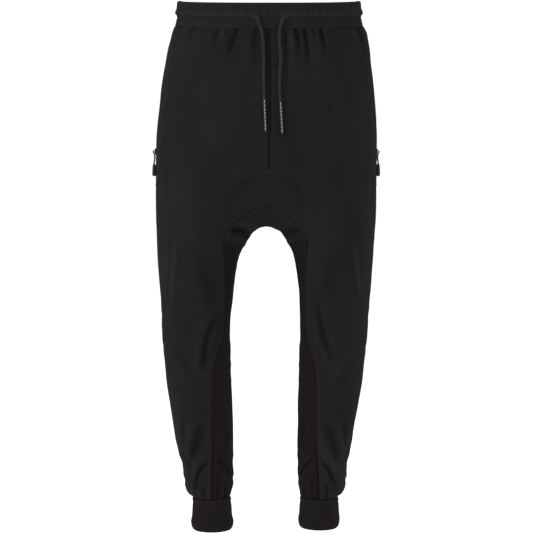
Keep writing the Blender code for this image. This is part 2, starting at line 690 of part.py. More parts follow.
def strip_points(drop, reaches, lift):
    """Points on the cloth beside the side seam: reach is minus to the front, plus to the back."""
    made, normals = [], []
    for reach in reaches:
        face = "front" if reach <= 0 else "back"
        length = outline_length(drop, face)
        share = np.array([1 - abs(reach) / length])
        point = along_outline(drop, face, share)
        normal = normals_at(drop, face, share)
        if reach == 0:
            normal = unit(normal * np.array([1.0, 0.0, 1.0]))
        point -= normal * valley_relief(share, drop, length)[:, None]
        made.append(point[0] + lift * normal[0])
        normals.append(normal[0])
    return np.array(made), np.array(normals)


def strip_wall(name, side, drops, reach_rows, thickness, material):
    grid, normals = [], []
    for drop, reaches in zip(drops, reach_rows):
        points, normal = strip_points(drop, reaches, LIFT + thickness)
        grid.append(points)
        normals.append(normal)
    grid, normals = np.array(grid), np.array(normals)
    if side == "right":
        grid, normals = mirrored(grid), mirrored(normals)
    return panel_wall(name, grid, normals, thickness, material)


def zip_tape(side):
    drops = np.linspace(ZIP_TOP, ZIP_END, 8)
    reaches = (-ZIP_HALF_WIDTH, 0.0, ZIP_HALF_WIDTH)
    return strip_wall("zip_tape_" + side, side, drops, [reaches] * len(drops), TAPE, "zip_tape")


def pocket_facing(side):
    """The pocket's facing, with its lower front corner rounded off."""
    corner = FACING_END - FACING_CORNER
    straight = [drop for drop in BODY_ROWS if FACING_TOP <= drop < corner]
    drops = np.concatenate((straight, corner + FACING_CORNER * np.sin(np.radians((0, 25, 50, 70, 90)))))
    foot = FACING_BACK + FACING_FOOT
    rows = []
    for drop in drops:
        fall = max(drop - corner, 0.0) / FACING_CORNER
        front = foot + (float(FRONT_EDGE_AT(drop)) - foot) * math.sqrt(max(1 - fall * fall, 0.0))
        rows.append(-np.linspace(front, FACING_BACK, 6))
    return strip_wall("pocket_facing_" + side, side, drops, rows, FACING, "body_cloth")


def outward(side):
    """The direction away from the body at a side zip."""
    return 1.0 if side == "left" else -1.0


def hinge_place(side):
    """The pull's pivot in millimetres, in the garment's own frame."""
    x = float(SECTION["half_width"](HINGE_DROP)) + HINGE_OUT
    y = float(SECTION["side_y"](HINGE_DROP))
    return np.array([outward(side) * x + float(LEAN_AT(HINGE_DROP)), y,
                     -HINGE_DROP + float(TILT_AT(HINGE_DROP)) * float(tipped(y))])


def prism(name, outline, start, end, to_place, material):
    """A solid between two flat copies of an outline; to_place turns (a, b, c) into millimetres."""
    count = len(outline)
    points = [to_place(a, b, c) for c in (start, end) for a, b in outline]
    faces = [tuple(range(count)), tuple(range(2 * count - 1, count - 1, -1))]
    faces += [(i, i + count, (i + 1) % count + count, (i + 1) % count) for i in range(count)]
    return mesh_from(name, np.array(points) * METRE, faces, material)


def slider(side):
    """A zip slider: a shield-shaped body with a bridge that the pull hangs in."""
    hinge, out = hinge_place(side), outward(side)
    half, wide = SLIDER_LENGTH / 2, SLIDER_WIDTH / 2
    shield = [(-half, -0.62 * wide), (-0.75 * half, -0.8 * wide), (0.35 * half, -wide), (half, -0.7 * wide),
              (half, 0.7 * wide), (0.35 * half, wide), (-0.75 * half, 0.8 * wide), (-half, 0.62 * wide)]
    foot = -HINGE_OUT - VALLEY_DEPTH + LIFT + TAPE + SLIDER_SEAT

    def on_cloth(a, b, c):
        return hinge[0] + out * c, hinge[1] + b, hinge[2] + a + 1.0
    body = prism("slider_" + side, shield, foot, foot + SLIDER_HEIGHT, on_cloth, "zip_metal")
    top = foot + SLIDER_HEIGHT
    arch_out = top + BRIDGE_HEIGHT
    arch_in = arch_out - BRIDGE_WALL
    reach = BRIDGE_HALF_LENGTH
    arch = [(-reach, top - 0.4), (-reach, arch_out - 1.0), (-reach + 1.0, arch_out), (reach - 1.0, arch_out),
            (reach, arch_out - 1.0), (reach, top - 0.4), (reach - 1.1, top - 0.4), (reach - 1.1, arch_in - 0.6),
            (reach - 1.6, arch_in), (-reach + 1.6, arch_in), (-reach + 1.1, arch_in - 0.6),
            (-reach + 1.1, top - 0.4)]

    def across(a, b, c):
        return hinge[0] + out * b, hinge[1] + c, hinge[2] + a + 1.0
    bridge = prism("bridge_" + side, arch, -BRIDGE_WIDTH / 2, BRIDGE_WIDTH / 2, across, "zip_metal")
    join = body.modifiers.new("bridge", "BOOLEAN")
    join.operation = "UNION"
    join.object = bridge
    bridge.hide_render = True
    bridge.display_type = "WIRE"
    return body


def tube(name, points, radius, resolution, material):
    """A round cord along millimetre points, with closed ends."""
    curve = bpy.data.curves.new(name, "CURVE")
    curve.dimensions = "3D"
    curve.bevel_depth = radius * METRE
    curve.bevel_resolution = resolution
    curve.use_fill_caps = True
    line = curve.splines.new("POLY")
    line.points.add(len(points) - 1)
    for target, point in zip(line.points, points):
        target.co = (*(np.asarray(point) * METRE), 1.0)
    curve.materials.append(material_for(material))
    made = bpy.data.objects.new(name, curve)
    bpy.context.scene.collection.objects.link(made)
    return made


def pull_loop(side):
    """The pull's cord: down, through the bridge and down again."""
    hinge, wide, corner = hinge_place(side), LOOP_HALF_WIDTH, 1.6
    low = -LOOP_LENGTH + SEAM_GAP
    bend = [(wide - corner + corner * math.cos(a), -corner + corner * math.sin(a))
            for a in np.radians((0, 30, 60, 90))]
    half = [(wide * 0.8, low), (wide, low * 0.6), (wide, low * 0.3)] + bend
    route = half + [(-y, z) for y, z in reversed(half)]
    points = [hinge + np.array([0.0, y, z]) for y, z in route]
    return tube("pull_loop_" + side, points, LOOP_RADIUS, 2, "cord_braid")


def pull_grip(side):
    """A moulded grip: rounded sections, waisted in the middle."""
    hinge = hinge_place(side)
    sections = ((0.0, 0.62), (0.06, 0.86), (0.2, 1.0), (0.5, 0.86), (0.8, 1.0), (0.94, 0.88), (1.0, 0.66))
    sides = 12
    points, faces = [], []
    for share, scale in sections:
        for k in range(sides):
            angle = 2 * math.pi * k / sides
            x = GRIP_THICKNESS / 2 * scale * math.copysign(abs(math.cos(angle)) ** 0.7, math.cos(angle))
            y = GRIP_WIDTH / 2 * scale * math.copysign(abs(math.sin(angle)) ** 0.7, math.sin(angle))
            points.append(hinge + np.array([x, y, -LOOP_LENGTH - share * GRIP_LENGTH]))
    for ring in range(len(sections) - 1):
        for k in range(sides):
            a, b = ring * sides + k, ring * sides + (k + 1) % sides
            faces.append((a, b, b + sides, a + sides))
    faces += [tuple(range(sides)), tuple(range(len(points) - 1, len(points) - 1 - sides, -1))]
    return mesh_from("pull_grip_" + side, np.array(points) * METRE, faces, "pull_rubber")


# ---- drawcords -------------------------------------------------------------------------------

def front_surface(x, drop):
    """y of the garment's front at an x and drop, band or body."""
    if drop < BAND_HEIGHT:
        ring = band_outline(float(BAND_LINE["half_width"](drop)), float(BAND_LINE["front_y"](drop)),
                            float(BAND_LINE["back_y"](drop)), 360)
        front = ring[ring[:, 1] < 0]
        front = front[np.argsort(front[:, 0])]
        return float(np.interp(x, front[:, 0], front[:, 1]))
    points = half_outline(drop, "front")
    return float(np.interp(abs(x), points[:, 0], points[:, 1]))


def cord_point(x, drop, off):
    """A drawcord's point in millimetres, standing off the cloth."""
    y = front_surface(x, drop) - off
    return np.array([x + float(LEAN_AT(drop)), y, -drop + float(TILT_AT(drop)) * float(tipped(y))])


def smooth_route(points, step):
    """Even points on a smooth curve through a cord's own points."""
    points = np.array(points)
    run = lengths(points)
    lines = [smooth_line(run, points[:, axis]) for axis in range(3)]
    count = int(round(run[-1] / step)) + 1
    return [np.array([float(line(at)) for line in lines]) for at in np.linspace(0, run[-1], count)]


def drawcord(side):
    route = [cord_point(*row) for row in CORDS[side]]
    return tube("drawcord_" + side, smooth_route(route, 13.0), CORD_RADIUS, 2, "cord_braid")


def cord_tip(side):
    """The dipped end of a drawcord: a straight rod with rounded ends."""
    start = cord_point(*CORDS[side][-1])
    towards = unit(cord_point(*TIP_ENDS[side]) - start)
    start = start + SEAM_GAP * towards
    across = unit(np.cross(towards, (0.0, 1.0, 0.0)))
    other = np.cross(towards, across)
    sections = ((0.0, 0.86), (1.2, 1.0), (TIP_LENGTH / 2, 1.0), (TIP_LENGTH - 1.6, 1.0),
                (TIP_LENGTH - 0.5, 0.84), (TIP_LENGTH, 0.5))
    sides = 10
    points, faces = [], []
    for along, scale in sections:
        for k in range(sides):
            angle = 2 * math.pi * k / sides
            ring = TIP_RADIUS * scale * (math.cos(angle) * across + math.sin(angle) * other)
            points.append(start + along * towards + ring)
    for ring in range(len(sections) - 1):
        for k in range(sides):
            a, b = ring * sides + k, ring * sides + (k + 1) % sides
            faces.append((a, b, b + sides, a + sides))
    faces += [tuple(range(sides)), tuple(range(len(points) - 1, len(points) - 1 - sides, -1))]
    return mesh_from("cord_tip_" + side, np.array(points) * METRE, faces, "cord_tip")


# ---- the garment -----------------------------------------------------------------------------

def main():
    for old in list(bpy.data.objects):
        bpy.data.objects.remove(old, do_unlink=True)
    waistband()
    long_panel("front_left", "left", FRONT_LEFT_COLUMNS)
    long_panel("front_right", "right", FRONT_RIGHT_COLUMNS)
    long_panel("back_left", "left", BACK_COLUMNS)
    long_panel("back_right", "right", BACK_COLUMNS)
    inner_panel()
    for side in ("left", "right"):
        cuff(side)
        zip_tape(side)
        pocket_facing(side)
        slider(side)
        pull_loop(side)
        pull_grip(side)
        drawcord(side)
        cord_tip(side)


main()
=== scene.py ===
"""How a pair of black drop-crotch joggers looks: cloth, gathers, seams, zips, cords and rib cuffs.

Sizes are millimetres in a straight frame: x to the wearer's left, y to the back, drop below the top
of the waistband.  placed() leans them as the garment hangs and turns them into metres.  A place on
a long panel is given by its drop and its reach, how far it lies along the cloth from the side seam.
"""
import math

import bpy
import numpy as np
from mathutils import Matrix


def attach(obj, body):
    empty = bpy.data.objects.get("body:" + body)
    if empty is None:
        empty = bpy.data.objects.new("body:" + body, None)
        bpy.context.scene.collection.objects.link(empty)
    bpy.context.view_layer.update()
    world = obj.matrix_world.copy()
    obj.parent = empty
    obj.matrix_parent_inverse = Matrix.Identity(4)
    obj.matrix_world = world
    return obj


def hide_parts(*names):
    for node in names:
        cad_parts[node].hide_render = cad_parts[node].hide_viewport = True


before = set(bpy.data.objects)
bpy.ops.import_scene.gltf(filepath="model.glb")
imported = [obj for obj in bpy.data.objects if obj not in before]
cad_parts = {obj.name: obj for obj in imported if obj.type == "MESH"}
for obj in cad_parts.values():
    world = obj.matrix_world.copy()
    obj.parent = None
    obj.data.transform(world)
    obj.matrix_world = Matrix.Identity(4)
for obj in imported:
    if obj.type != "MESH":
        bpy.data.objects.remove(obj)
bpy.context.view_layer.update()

METRE = 0.001
CLOTH = 1.1              # body cloth as it looks; the solid's wall is thicker
INNER_CLOTH = 1.0
BAND_CLOTH = 2.2
RIB_CLOTH = 1.9
BAND_HEIGHT = 47.0
SIDES = ("left", "right")
OUTWARD = {"left": 1.0, "right": -1.0}

# ---- the body's outline: the same named sections as the solids ---------------------------------

# what each row of the sections says after its drop
SECTION_COLUMNS = ("half_width", "side_y", "crest_x", "front_y", "back_y",
                   "inner_x", "inner_front_y", "inner_back_y", "turn")
SECTIONS = (
    (47, 177.0, 2, 26, -113, 115, 0.0, -113, 115, 0),
    (60, 183.9, 2, 28, -116, 119, 0.0, -116, 119, 0),
    (72, 186.6, 2, 30, -118, 122, 0.0, -118, 122, 0),
    (90, 190.4, 2, 32, -121, 127, 0.0, -121, 127, 0),
    (110, 193.3, 2, 35, -123, 131, 0.0, -123, 131, 0),
    (147, 198.7, 2, 40, -127, 138, 0.0, -127, 138, 0),
    (185, 202.3, 2, 47, -130, 142, 0.0, -130, 142, 0),
    (223, 205.8, 2, 56, -132, 144, 0.0, -132, 144, 0),
    (261, 207.8, 2, 68, -133, 144, 0.0, -133, 144, 0),
    (300, 208.0, 2, 84, -133, 142, 0.0, -131, 139, 0),
    (336, 207.9, 2, 98, -131, 138, 0.0, -126, 131, 0),
    (360, 207.8, 2, 107, -128, 134, 0.0, -118, 124, 0),
    (384, 207.5, 2, 114, -125, 130, 0.0, -108, 114, 0),
    (412, 207.0, 2, 121, -121, 126, 4.0, -94, 100, 12),
    (430, 206.0, 2, 124, -118, 123, 14.0, -76, 84, 34),
    (448, 205.0, 3, 126, -115, 121, 30.0, -52, 60, 56),
    (470, 203.6, 3, 128, -111, 117, 45.0, -24, 32, 76),
    (490, 202.3, 3, 129, -107, 113, 54.5, 3, 3, 90),
    (525, 199.5, 3, 130, -101, 106, 60.3, 3, 3, 90),
    (563, 196.8, 3, 130.5, -95, 97, 63.9, 2, 2, 90),
    (601, 194.6, 2, 130.5, -89, 86, 66.2, 0, 0, 90),
    (639, 191.9, 0, 129, -85, 77, 66.3, -2, -2, 90),
    (677, 187.9, 0, 126.5, -79, 73, 65.0, -2, -2, 90),
    (714, 184.6, 2, 124, -73, 72, 63.9, 0, 0, 90),
    (752, 178.2, 4, 120.5, -67, 72, 62.6, 3, 3, 90),
    (790, 172.0, 6, 117, -62, 73, 61.9, 5, 5, 90),
    (828, 165.6, 7, 113.4, -58, 72, 61.3, 7, 7, 90),
    (866, 157.4, 7, 109, -53, 66, 61.3, 7, 7, 90),
    (885, 153.8, 7, 107.5, -49, 61, 61.6, 6, 6, 90),
    (903, 151.4, 6, 107, -46, 57, 62.2, 6, 6, 90),
    (922, 146.8, 6, 106, -42, 52, 64.6, 5, 5, 90),
    (930, 142.2, 5, 104.5, -39, 48, 66.2, 5, 5, 90),
    (937, 137.9, 5, 102, -36.5, 46, 66.5, 5, 5, 90),
    (943, 136.9, 5, 101.8, -36, 45.5, 66.4, 5, 5, 90),
    (953, 137.7, 5, 101.3, -36.5, 46, 64.9, 5, 5, 90),
    (968, 138.6, 5, 101.2, -37, 47, 64.0, 5, 5, 90),
    (980, 139.8, 5, 100.8, -38.5, 48.5, 61.9, 5, 5, 90),
    (988, 138.8, 5, 100.8, -37.8, 47.8, 62.6, 5, 5, 90),
    (994, 135.6, 5, 100.8, -34.6, 44.6, 65.6, 5, 5, 90),
)
BAND_COLUMNS = ("half_width", "front_y", "back_y")     # after the drop
BAND_END = 46.85
BAND = (
    (0.0, 171.2, -107.4, 107.4),
    (3.0, 172.9, -109.2, 109.4),
    (13.0, 173.8, -110.2, 110.6),
    (22.5, 175.5, -111.6, 112.0),
    (30.0, 173.4, -109.9, 110.6),
    (37.0, 174.6, -111.0, 112.2),
    (BAND_END, 177.0, -113.0, 115.0),
)
BAND_CREST_X = 26.0
BAND_SIDE_Y = 2.0
ARC_TOP = 384.0          # the crotch seam's arc: where it starts, and its size
ARC_HALF_WIDTH = 77.7
ARC_HEIGHT = 64.0
ARC_POWER = 1.5
ANKLE = 937.0            # where the long panels meet the cuffs
# drop and x of the inner seam below the arc
SEAM = ((448, 77.7), (476, 76.2), (525, 74.2), (585, 74.4), (620, 76.2), (652, 85.0), (684, 93.0),
        (705, 95.2), (760, 96.2), (850, 97.0), (885, 99.4), (937, 100.2))
ARCH_COLUMNS = ("drop", "x", "y")
# the middle of the inner panel over the crotch, at angles from its top
ARCH = ((0, 424.0, 0.0, 4.0), (18, 425.6, 13.5, 4.0), (36, 430.6, 25.5, 4.0), (54, 442.5, 34.2, 3.5),
        (72, 460.0, 43.6, 3.2), (90, 480.0, 51.6, 3.0))
ARCH_LAG = 32.0          # below it the panel's middle lies this much lower than its seams, fading out
ARCH_LAG_START = 448.0
ARCH_LAG_END = 650.0
# drop, and how steeply the garment's rows fall to the front there
TILT = ((0, 0.125), (60, 0.12), (150, 0.06), (260, 0.0), (1000, 0.0))
BACK_TIP = 0.2           # the back of the waist rises this share of what the front falls
TIP_EASE = 15.0
# drop, and how far the front's middle seam wanders between the band and the arc
DRIFT = ((0, 0.0), (47, 0.0), (150, 3.2), (240, 5.2), (320, 6.0), (384, 3.6), (430, 0.0), (1000, 0.0))
DRIFT_WIDTH = 75.0
DRIFT_DEPTH = 40.0
# drop, and how far the garment leans to the wearer's right
LEAN = ((0, 0.0), (80, 0.0), (260, -5.0), (450, -6.8), (800, -9.0), (900, -7.4), (1000, -7.0))
OUTLINE_POWER = 2.1
DENSE = 90


def smooth_line(xs, ys):
    """A smooth function through points that never swings past them."""
    step = np.diff(xs)
    rise = np.diff(ys) / step
    slope = np.concatenate(([rise[0]], np.zeros(len(xs) - 2), [rise[-1]]))
    for i in range(1, len(xs) - 1):
        if rise[i - 1] * rise[i] > 0:
            before, after = 2 * step[i] + step[i - 1], step[i] + 2 * step[i - 1]
            slope[i] = (before + after) / (before / rise[i - 1] + after / rise[i])

    def at(x):
        x = np.clip(x, xs[0], xs[-1])
        i = np.clip(np.searchsorted(xs, x) - 1, 0, len(step) - 1)
        t = (x - xs[i]) / step[i]
        return ((1 + 2 * t) * (1 - t) ** 2 * ys[i] + t * (1 - t) ** 2 * step[i] * slope[i]
                + t * t * (3 - 2 * t) * ys[i + 1] + t * t * (t - 1) * step[i] * slope[i + 1])
    return at


def line_of(points):
    return smooth_line(*np.array(points, dtype=float).T)


def lines_of(rows, names):
    xs, *columns = np.array(rows, dtype=float).T
    return {name: smooth_line(xs, ys) for name, ys in zip(names, columns)}


SECTION = lines_of(SECTIONS, SECTION_COLUMNS)
BAND_LINE = lines_of(BAND, BAND_COLUMNS)
ARCH_LINE = lines_of(ARCH, ARCH_COLUMNS)
SEAM_X, TILT_AT, DRIFT_AT, LEAN_AT = map(line_of, (SEAM, TILT, DRIFT, LEAN))


def hump(t):
    """A soft bell: 1 at 0, 0 from 1 on."""
    t = np.clip(np.abs(t), 0, 1)
    return 0.5 + 0.5 * np.cos(np.pi * t)


def unit(vectors):
    return vectors / np.linalg.norm(vectors, axis=-1)[..., None]


def square_to(vectors, axis):
    """Directions with nothing left along one axis."""
    vectors = np.array(vectors)
    vectors[..., axis] = 0.0
    return unit(vectors)


def lengths(points):
    return np.concatenate(([0.0], np.cumsum(np.linalg.norm(np.diff(points, axis=0), axis=1))))


def ramp(value, start, end):
    """0 before the start, 1 after the end, even between them."""
    return np.clip((value - start) / (end - start), 0, 1)


def bezier(a, b, c, d, t):
    t = t[:, None]
    return (1 - t) ** 3 * a + 3 * t * (1 - t) ** 2 * b + 3 * t * t * (1 - t) * c + t ** 3 * d


def rounded_quarter():
    """How far across and how far round a rounded quarter of the outline is, from its crest."""
    angle = np.linspace(0, np.pi / 2, DENSE)
    return np.sin(angle) ** (2 / OUTLINE_POWER), 1 - np.abs(np.cos(angle)) ** (2 / OUTLINE_POWER)


def tipped(y):
    """How far a place is tipped with the waist: in full at the front, hardly at the back."""
    behind = np.maximum(y, 0.0)
    eased = BACK_TIP * behind + (1 - BACK_TIP) * TIP_EASE * (1 - np.exp(-behind / TIP_EASE))
    return np.minimum(y, 0.0) + eased


def placed(points):
    """Straight millimetres to metres in the garment's leaning frame."""
    points = np.asarray(points, dtype=float)
    x, y, drop = points[..., 0], points[..., 1], points[..., 2]
    drift = DRIFT_AT(drop) * hump(x / DRIFT_WIDTH) * np.clip(-y / DRIFT_DEPTH, 0, 1)
    return np.stack((x + LEAN_AT(drop) + drift, y, -drop + TILT_AT(drop) * tipped(y)), axis=-1) * METRE


def mirrored(points):
    return np.asarray(points) * np.array([-1.0, 1.0, 1.0])


def half_outline(drop, face):
    """Dense points of one quarter of the outline, from its inner start round to the side seam."""
    crest = np.array([SECTION["crest_x"](drop), SECTION[face + "_y"](drop)])
    start = np.array([SECTION["inner_x"](drop), SECTION["inner_" + face + "_y"](drop)])
    side = np.array([SECTION["half_width"](drop), SECTION["side_y"](drop)])
    turn = math.radians(float(SECTION["turn"](drop)))
    outwards = -1 if face == "front" else 1
    reach = np.abs(crest - start)
    pull = 0.55 * (reach[0] * math.cos(turn) + reach[1] * math.sin(turn))
    first = start + pull * np.array([math.cos(turn), outwards * math.sin(turn)])
    last = crest - np.array([0.5 * reach[0], 0.0])
    inner = bezier(start, first, last, crest, np.linspace(0, 1, DENSE))
    round_side = np.stack(rounded_quarter(), axis=1)[1:]
    return np.vstack((inner, crest + round_side * (side - crest)))


OUTLINES = {}


def outline(drop, face):
    """The outline's points and how far along it each lies, kept for reuse."""
    key = (round(float(drop), 3), face)
    if key not in OUTLINES:
        points = half_outline(drop, face)
        OUTLINES[key] = (points, lengths(points))
    return OUTLINES[key]


def base_at(drop, face, reach):
    """Points of the smooth body at reaches from the side seam."""
    points, run = outline(drop, face)
    at = np.clip(run[-1] - reach, 0, run[-1])
    return np.stack((np.interp(at, run, points[:, 0]), np.interp(at, run, points[:, 1]),
                     np.full(np.shape(reach), float(drop))), axis=-1)


NORMAL_REACH = 3.0
NORMAL_DROP = 2.0


def normal_at(drop, face, reach):
    """Outward directions of the smooth body, square to its seam at the sides."""
    across = (base_at(drop, face, np.maximum(reach - NORMAL_REACH, 0))
              - base_at(drop, face, reach + NORMAL_REACH))
    down = base_at(drop + NORMAL_DROP, face, reach) - base_at(drop - NORMAL_DROP, face, reach)
    normal = np.cross(across, down) if face == "front" else np.cross(down, across)
    return unit(normal)


def reach_at_x(drop, face, x):
    points, run = outline(drop, face)
    return float(run[-1] - np.interp(x, points[:, 0], run))


def arc_point(turn):
    """The seam's arc below the body: x and drop at an angle from its top."""
    angle = math.radians(turn)
    x = ARC_HALF_WIDTH * math.sin(angle) ** (2 / ARC_POWER)
    return x, ARC_TOP + ARC_HEIGHT * (1 - max(math.cos(angle), 0.0) ** (2 / ARC_POWER))


# ---- relief: gathers, creases, seams and the cloth's own unevenness ------------------------------

def patchwork(u, v, size_u, size_v, seed):
    """Smooth unevenness between -1 and 1, patches of the given size, the same on every run."""
    table = np.random.RandomState(seed).uniform(-1, 1, (64, 64))
    a, b = u / size_u, v / size_v
    i, j = np.floor(a).astype(int), np.floor(b).astype(int)
    s, t = a - i, b - j
    s, t = s * s * (3 - 2 * s), t * t * (3 - 2 * t)
    low = table[i % 64, j % 64] * (1 - s) + table[(i + 1) % 64, j % 64] * s
    high = table[i % 64, (j + 1) % 64] * (1 - s) + table[(i + 1) % 64, (j + 1) % 64] * s
    return low * (1 - t) + high * t


# Large gathers below the band: place along the waist seam, drop where they end, depth, half width,
# slant.  "right" is the wearer's right, which the picture shows on the left.
GATHERS = {
    "front_right": ((5.5, 290, 3.0, 4.5, 0), (26, 150, 2.4, 10, -3), (58, 122, 4.6, 7, 16), (72, 96, 2.6, 8, -4),
                    (95, 108, 3.0, 8, 2), (145, 80, 2.4, 9, 6)),
    "front_left": ((28, 230, 2.0, 6, 0), (49, 125, 5.2, 7, 1), (64, 140, 5.0, 6.5, 2), (80, 86, 2.8, 6, 0),
                   (94, 108, 5.4, 7, 3), (58, 178, 1.8, 14, 0), (180, 110, 2.6, 16, 8)),
    "back_left": ((36, 120, 3.0, 13, 2), (84, 140, 3.6, 13, 3), (138, 110, 3.2, 14, 4)),
    "back_right": ((36, 140, 3.4, 13, 3), (84, 110, 3.0, 13, 2), (138, 130, 3.4, 14, 5)),
}
FINE_GATHER_PITCH = 9.5
FINE_GATHER_DEPTH = 1.15

# Creases: a kind, points of the line, half width and depth; a ridge has a negative depth.  Points
# are x and drop on the "front" or "back", or reach and drop across the "side", front minus.
CREASES = {
    "both": (
        ("front", ((149.6, 786), (151, 806), (149.8, 834)), 9, 2.0),
        ("front", ((117.6, 796), (124, 816), (129, 832), (134.5, 857)), 12, 3.4),
        ("front", ((123, 850), (129, 866), (135.2, 888)), 8, -1.8),
        ("side", ((-12, 838), (-34, 852), (-52, 872)), 9, 1.6),
        ("back", ((90, 640), (112, 632), (140, 634), (168, 620)), 11, 3.4),
        ("back", ((98, 664), (126, 660), (158, 668)), 9, 2.4),
        ("back", ((92, 694), (118, 688), (146, 676), (168, 664)), 11, 2.8),
        ("back", ((104, 722), (132, 716), (156, 722)), 12, 1.8),
        ("back", ((90, 852), (110, 860), (140, 874)), 12, 3.2),
        ("back", ((98, 884), (116, 890), (134, 888)), 9, 2.4),
        ("back", ((118, 905), (130, 912), (139, 922)), 6, 2.0),
        ("back", ((84, 470), (104, 456), (128, 440), (150, 428)), 18, 3.6),
        ("back", ((92, 506), (118, 492), (144, 486)), 16, 2.2),
        ("back", ((30, 372), (58, 384), (80, 404)), 14, 1.8),
        ("side", ((22, 604), (4, 596), (-26, 590)), 12, 0.7),
        ("side", ((30, 662), (10, 652), (-16, 650)), 10, 0.7),
        ("side", ((36, 880), (10, 868), (-14, 872)), 9, 1.9),
        ("side", ((20, 902), (2, 906), (-18, 900)), 7, 1.5),
        ("side", ((16, 420), (6, 500), (14, 566)), 18, -1.6),
    ),
    "right": (
        ("front", ((92, 590), (99, 606), (106, 630), (112, 662), (114, 690)), 8.5, 3.6),
        ("front", ((164.7, 439), (165.5, 487), (170, 518), (172.7, 566)), 7, -2.4),
        ("front", ((100.7, 862), (110, 868), (117, 874), (127.5, 890), (131, 914)), 4.2, 3.6),
        ("front", ((86, 640), (98, 652), (112, 674)), 12, 1.4),
        ("front", ((136, 700), (150, 672), (168, 650)), 12, 1.3),
        ("front", ((122, 470), (110, 520), (106, 560)), 18, 1.2),
        ("front", ((113.8, 912), (115.2, 924), (116.5, 936)), 3.4, 2.6),
        ("front", ((130.4, 912), (131, 924), (130, 936)), 4.0, 1.6),
        ("front", ((108, 914), (108, 936)), 3.2, 1.2),
        ("front", ((124, 920), (123.5, 936)), 3.0, 1.0),
        ("front", ((20, 330), (48, 352), (72, 384)), 16, 1.2),
        ("front", ((186, 240), (184, 320), (180, 372)), 14, 1.1),
    ),
    "left": (
        ("front", ((95.6, 569), (100, 590), (103, 605), (110.8, 635), (126, 670)), 9, 3.2),
        ("front", ((164.7, 465), (168.6, 505), (174.4, 546)), 7, -2.4),
        ("front", ((101, 858), (110, 866), (116.7, 873), (125.6, 894), (132, 911)), 4.4, 3.4),
        ("front", ((84, 628), (96, 646), (104, 672)), 12, 1.3),
        ("front", ((140, 716), (152, 690), (166, 670)), 12, 1.4),
        ("front", ((130, 470), (118, 512), (112, 548)), 18, 1.2),
        ("front", ((114, 906), (115, 922), (114.4, 936)), 3.4, 2.6),
        ("front", ((106, 912), (106, 936)), 3.2, 1.3),
        ("front", ((129, 916), (129.5, 936)), 3.8, 1.5),
        ("front", ((112, 196), (116, 206), (114, 216)), 6, 1.4),
        ("front", ((24, 336), (50, 350), (74, 380)), 16, 1.0),
        ("front", ((184, 230), (186, 310), (182, 366)), 14, 1.1),
    ),
}
# How much further the garment stands out than the even solids on each side, at the outer edge of a
# leg or hip and at the inner edge of a leg.
OUTER_EDGE = {
    "right": ((47, 0.0), (60, -2.2), (72, -1.9), (90, -0.8), (110, 0.0), (165, 0.0), (200, -1.5), (245, -1.8),
              (284, -1.4), (336, -1.4), (355, -0.5), (560, -0.3), (600, 0.2), (650, 1.0), (700, 0.6), (745, 1.5),
              (790, 2.1), (835, 2.9), (866, 2.7), (881, 1.4), (896, 2.4), (911, 2.8), (926, 4.0), (937, 0.0)),
    "left": ((47, 0.0), (60, -0.3), (95, -1.5), (125, -2.9), (140, -2.7), (160, -2.0), (185, -0.9), (215, -0.3),
             (290, 0.0), (336, -0.3), (367, 0.8), (412, 1.2), (442, 0.5), (460, -0.2), (500, 0.0), (548, 1.4),
             (600, 1.0), (650, 1.6), (700, 1.2), (760, 1.4), (805, 0.5), (835, 1.2), (866, 1.1), (881, 0.9),
             (896, 2.5), (911, 3.4), (926, 4.0), (937, 0.0)),
}
INNER_EDGE = {
    "right": ((424, 0.0), (434, 3.4), (457, 3.0), (480, 1.9), (503, 2.9), (518, 3.6), (548, 3.5), (570, 2.6),
              (594, 1.6), (640, 1.6), (654, 0.5), (700, 0.3), (730, 1.2), (775, 1.9), (800, 2.4), (850, 1.9),
              (880, 0.8), (896, 2.0), (911, 2.6), (926, 2.0), (937, 0.0)),
    "left": ((424, 0.0), (434, -1.0), (457, -1.8), (472, -3.2), (488, -2.2), (503, -1.3), (548, -1.7),
             (578, -0.9), (608, -0.2), (654, -1.1), (700, -1.5), (760, -0.7), (805, -1.7), (850, -1.0),
             (880, -0.8), (911, 0.0), (937, 0.0)),
}
OUTER_EDGE_REACH = 60.0  # how far round from the side seam the outer swell goes
OUTER_EDGE_AT = {side: line_of(OUTER_EDGE[side]) for side in SIDES}
INNER_EDGE_AT = {side: line_of(INNER_EDGE[side]) for side in SIDES}

RIDGE_SHARE = 0.32       # how much the cloth swells beside a crease
RIDGE_AT, RIDGE_WIDTH = 1.5, 0.85     # in half widths of the crease
GATHER_RIDGE_AT, GATHER_RIDGE_WIDTH = 1.4, 0.8
VALLEY_DEPTH = 1.8       # the zips lie in a shallow valley of the side seam
VALLEY_HALF_WIDTH = 14.0
VALLEY_MIDDLE = 205.0
VALLEY_HALF_LENGTH = 105.0
VALLEY_FADE = 55.0
ALLOWANCE_DEPTH = 4.2    # the waist's seam allowance runs this deep behind the band
SEWN_GATHER = 0.4        # gathers are this shallow in the waist's seam, and in full from there down
SEWN_GATHER_END = 10.0
MIDDLE_TROUGH = 1.6      # the middle seams lie in a shallow trough
SEAM_DIP = 1.3           # how deep the cloth rolls into a seam
SEAM_ROLL = 2.6          # and how far from the seam that starts
SEAM_SWELL = 0.32        # the seam allowance behind it lifts the cloth
SEAM_SWELL_AT = 5.5
SEAM_SWELL_WIDTH = 4.5
SEAM_QUIET = 12.0        # creases die away this close to a seam in the middle or on the inner leg
FRONT_SEAM_END = 318.0   # below this the middle seam of the front lies flat
FRONT_SEAM_SHARE = 0.12
KNEE_SEAM = (530.0, 125.0, 0.8)      # the front's inner seam fades round this drop, so far, by this share
ARC_SEAM = (425.0, 40.0, 0.6)        # and so does the arc on the wearer's left
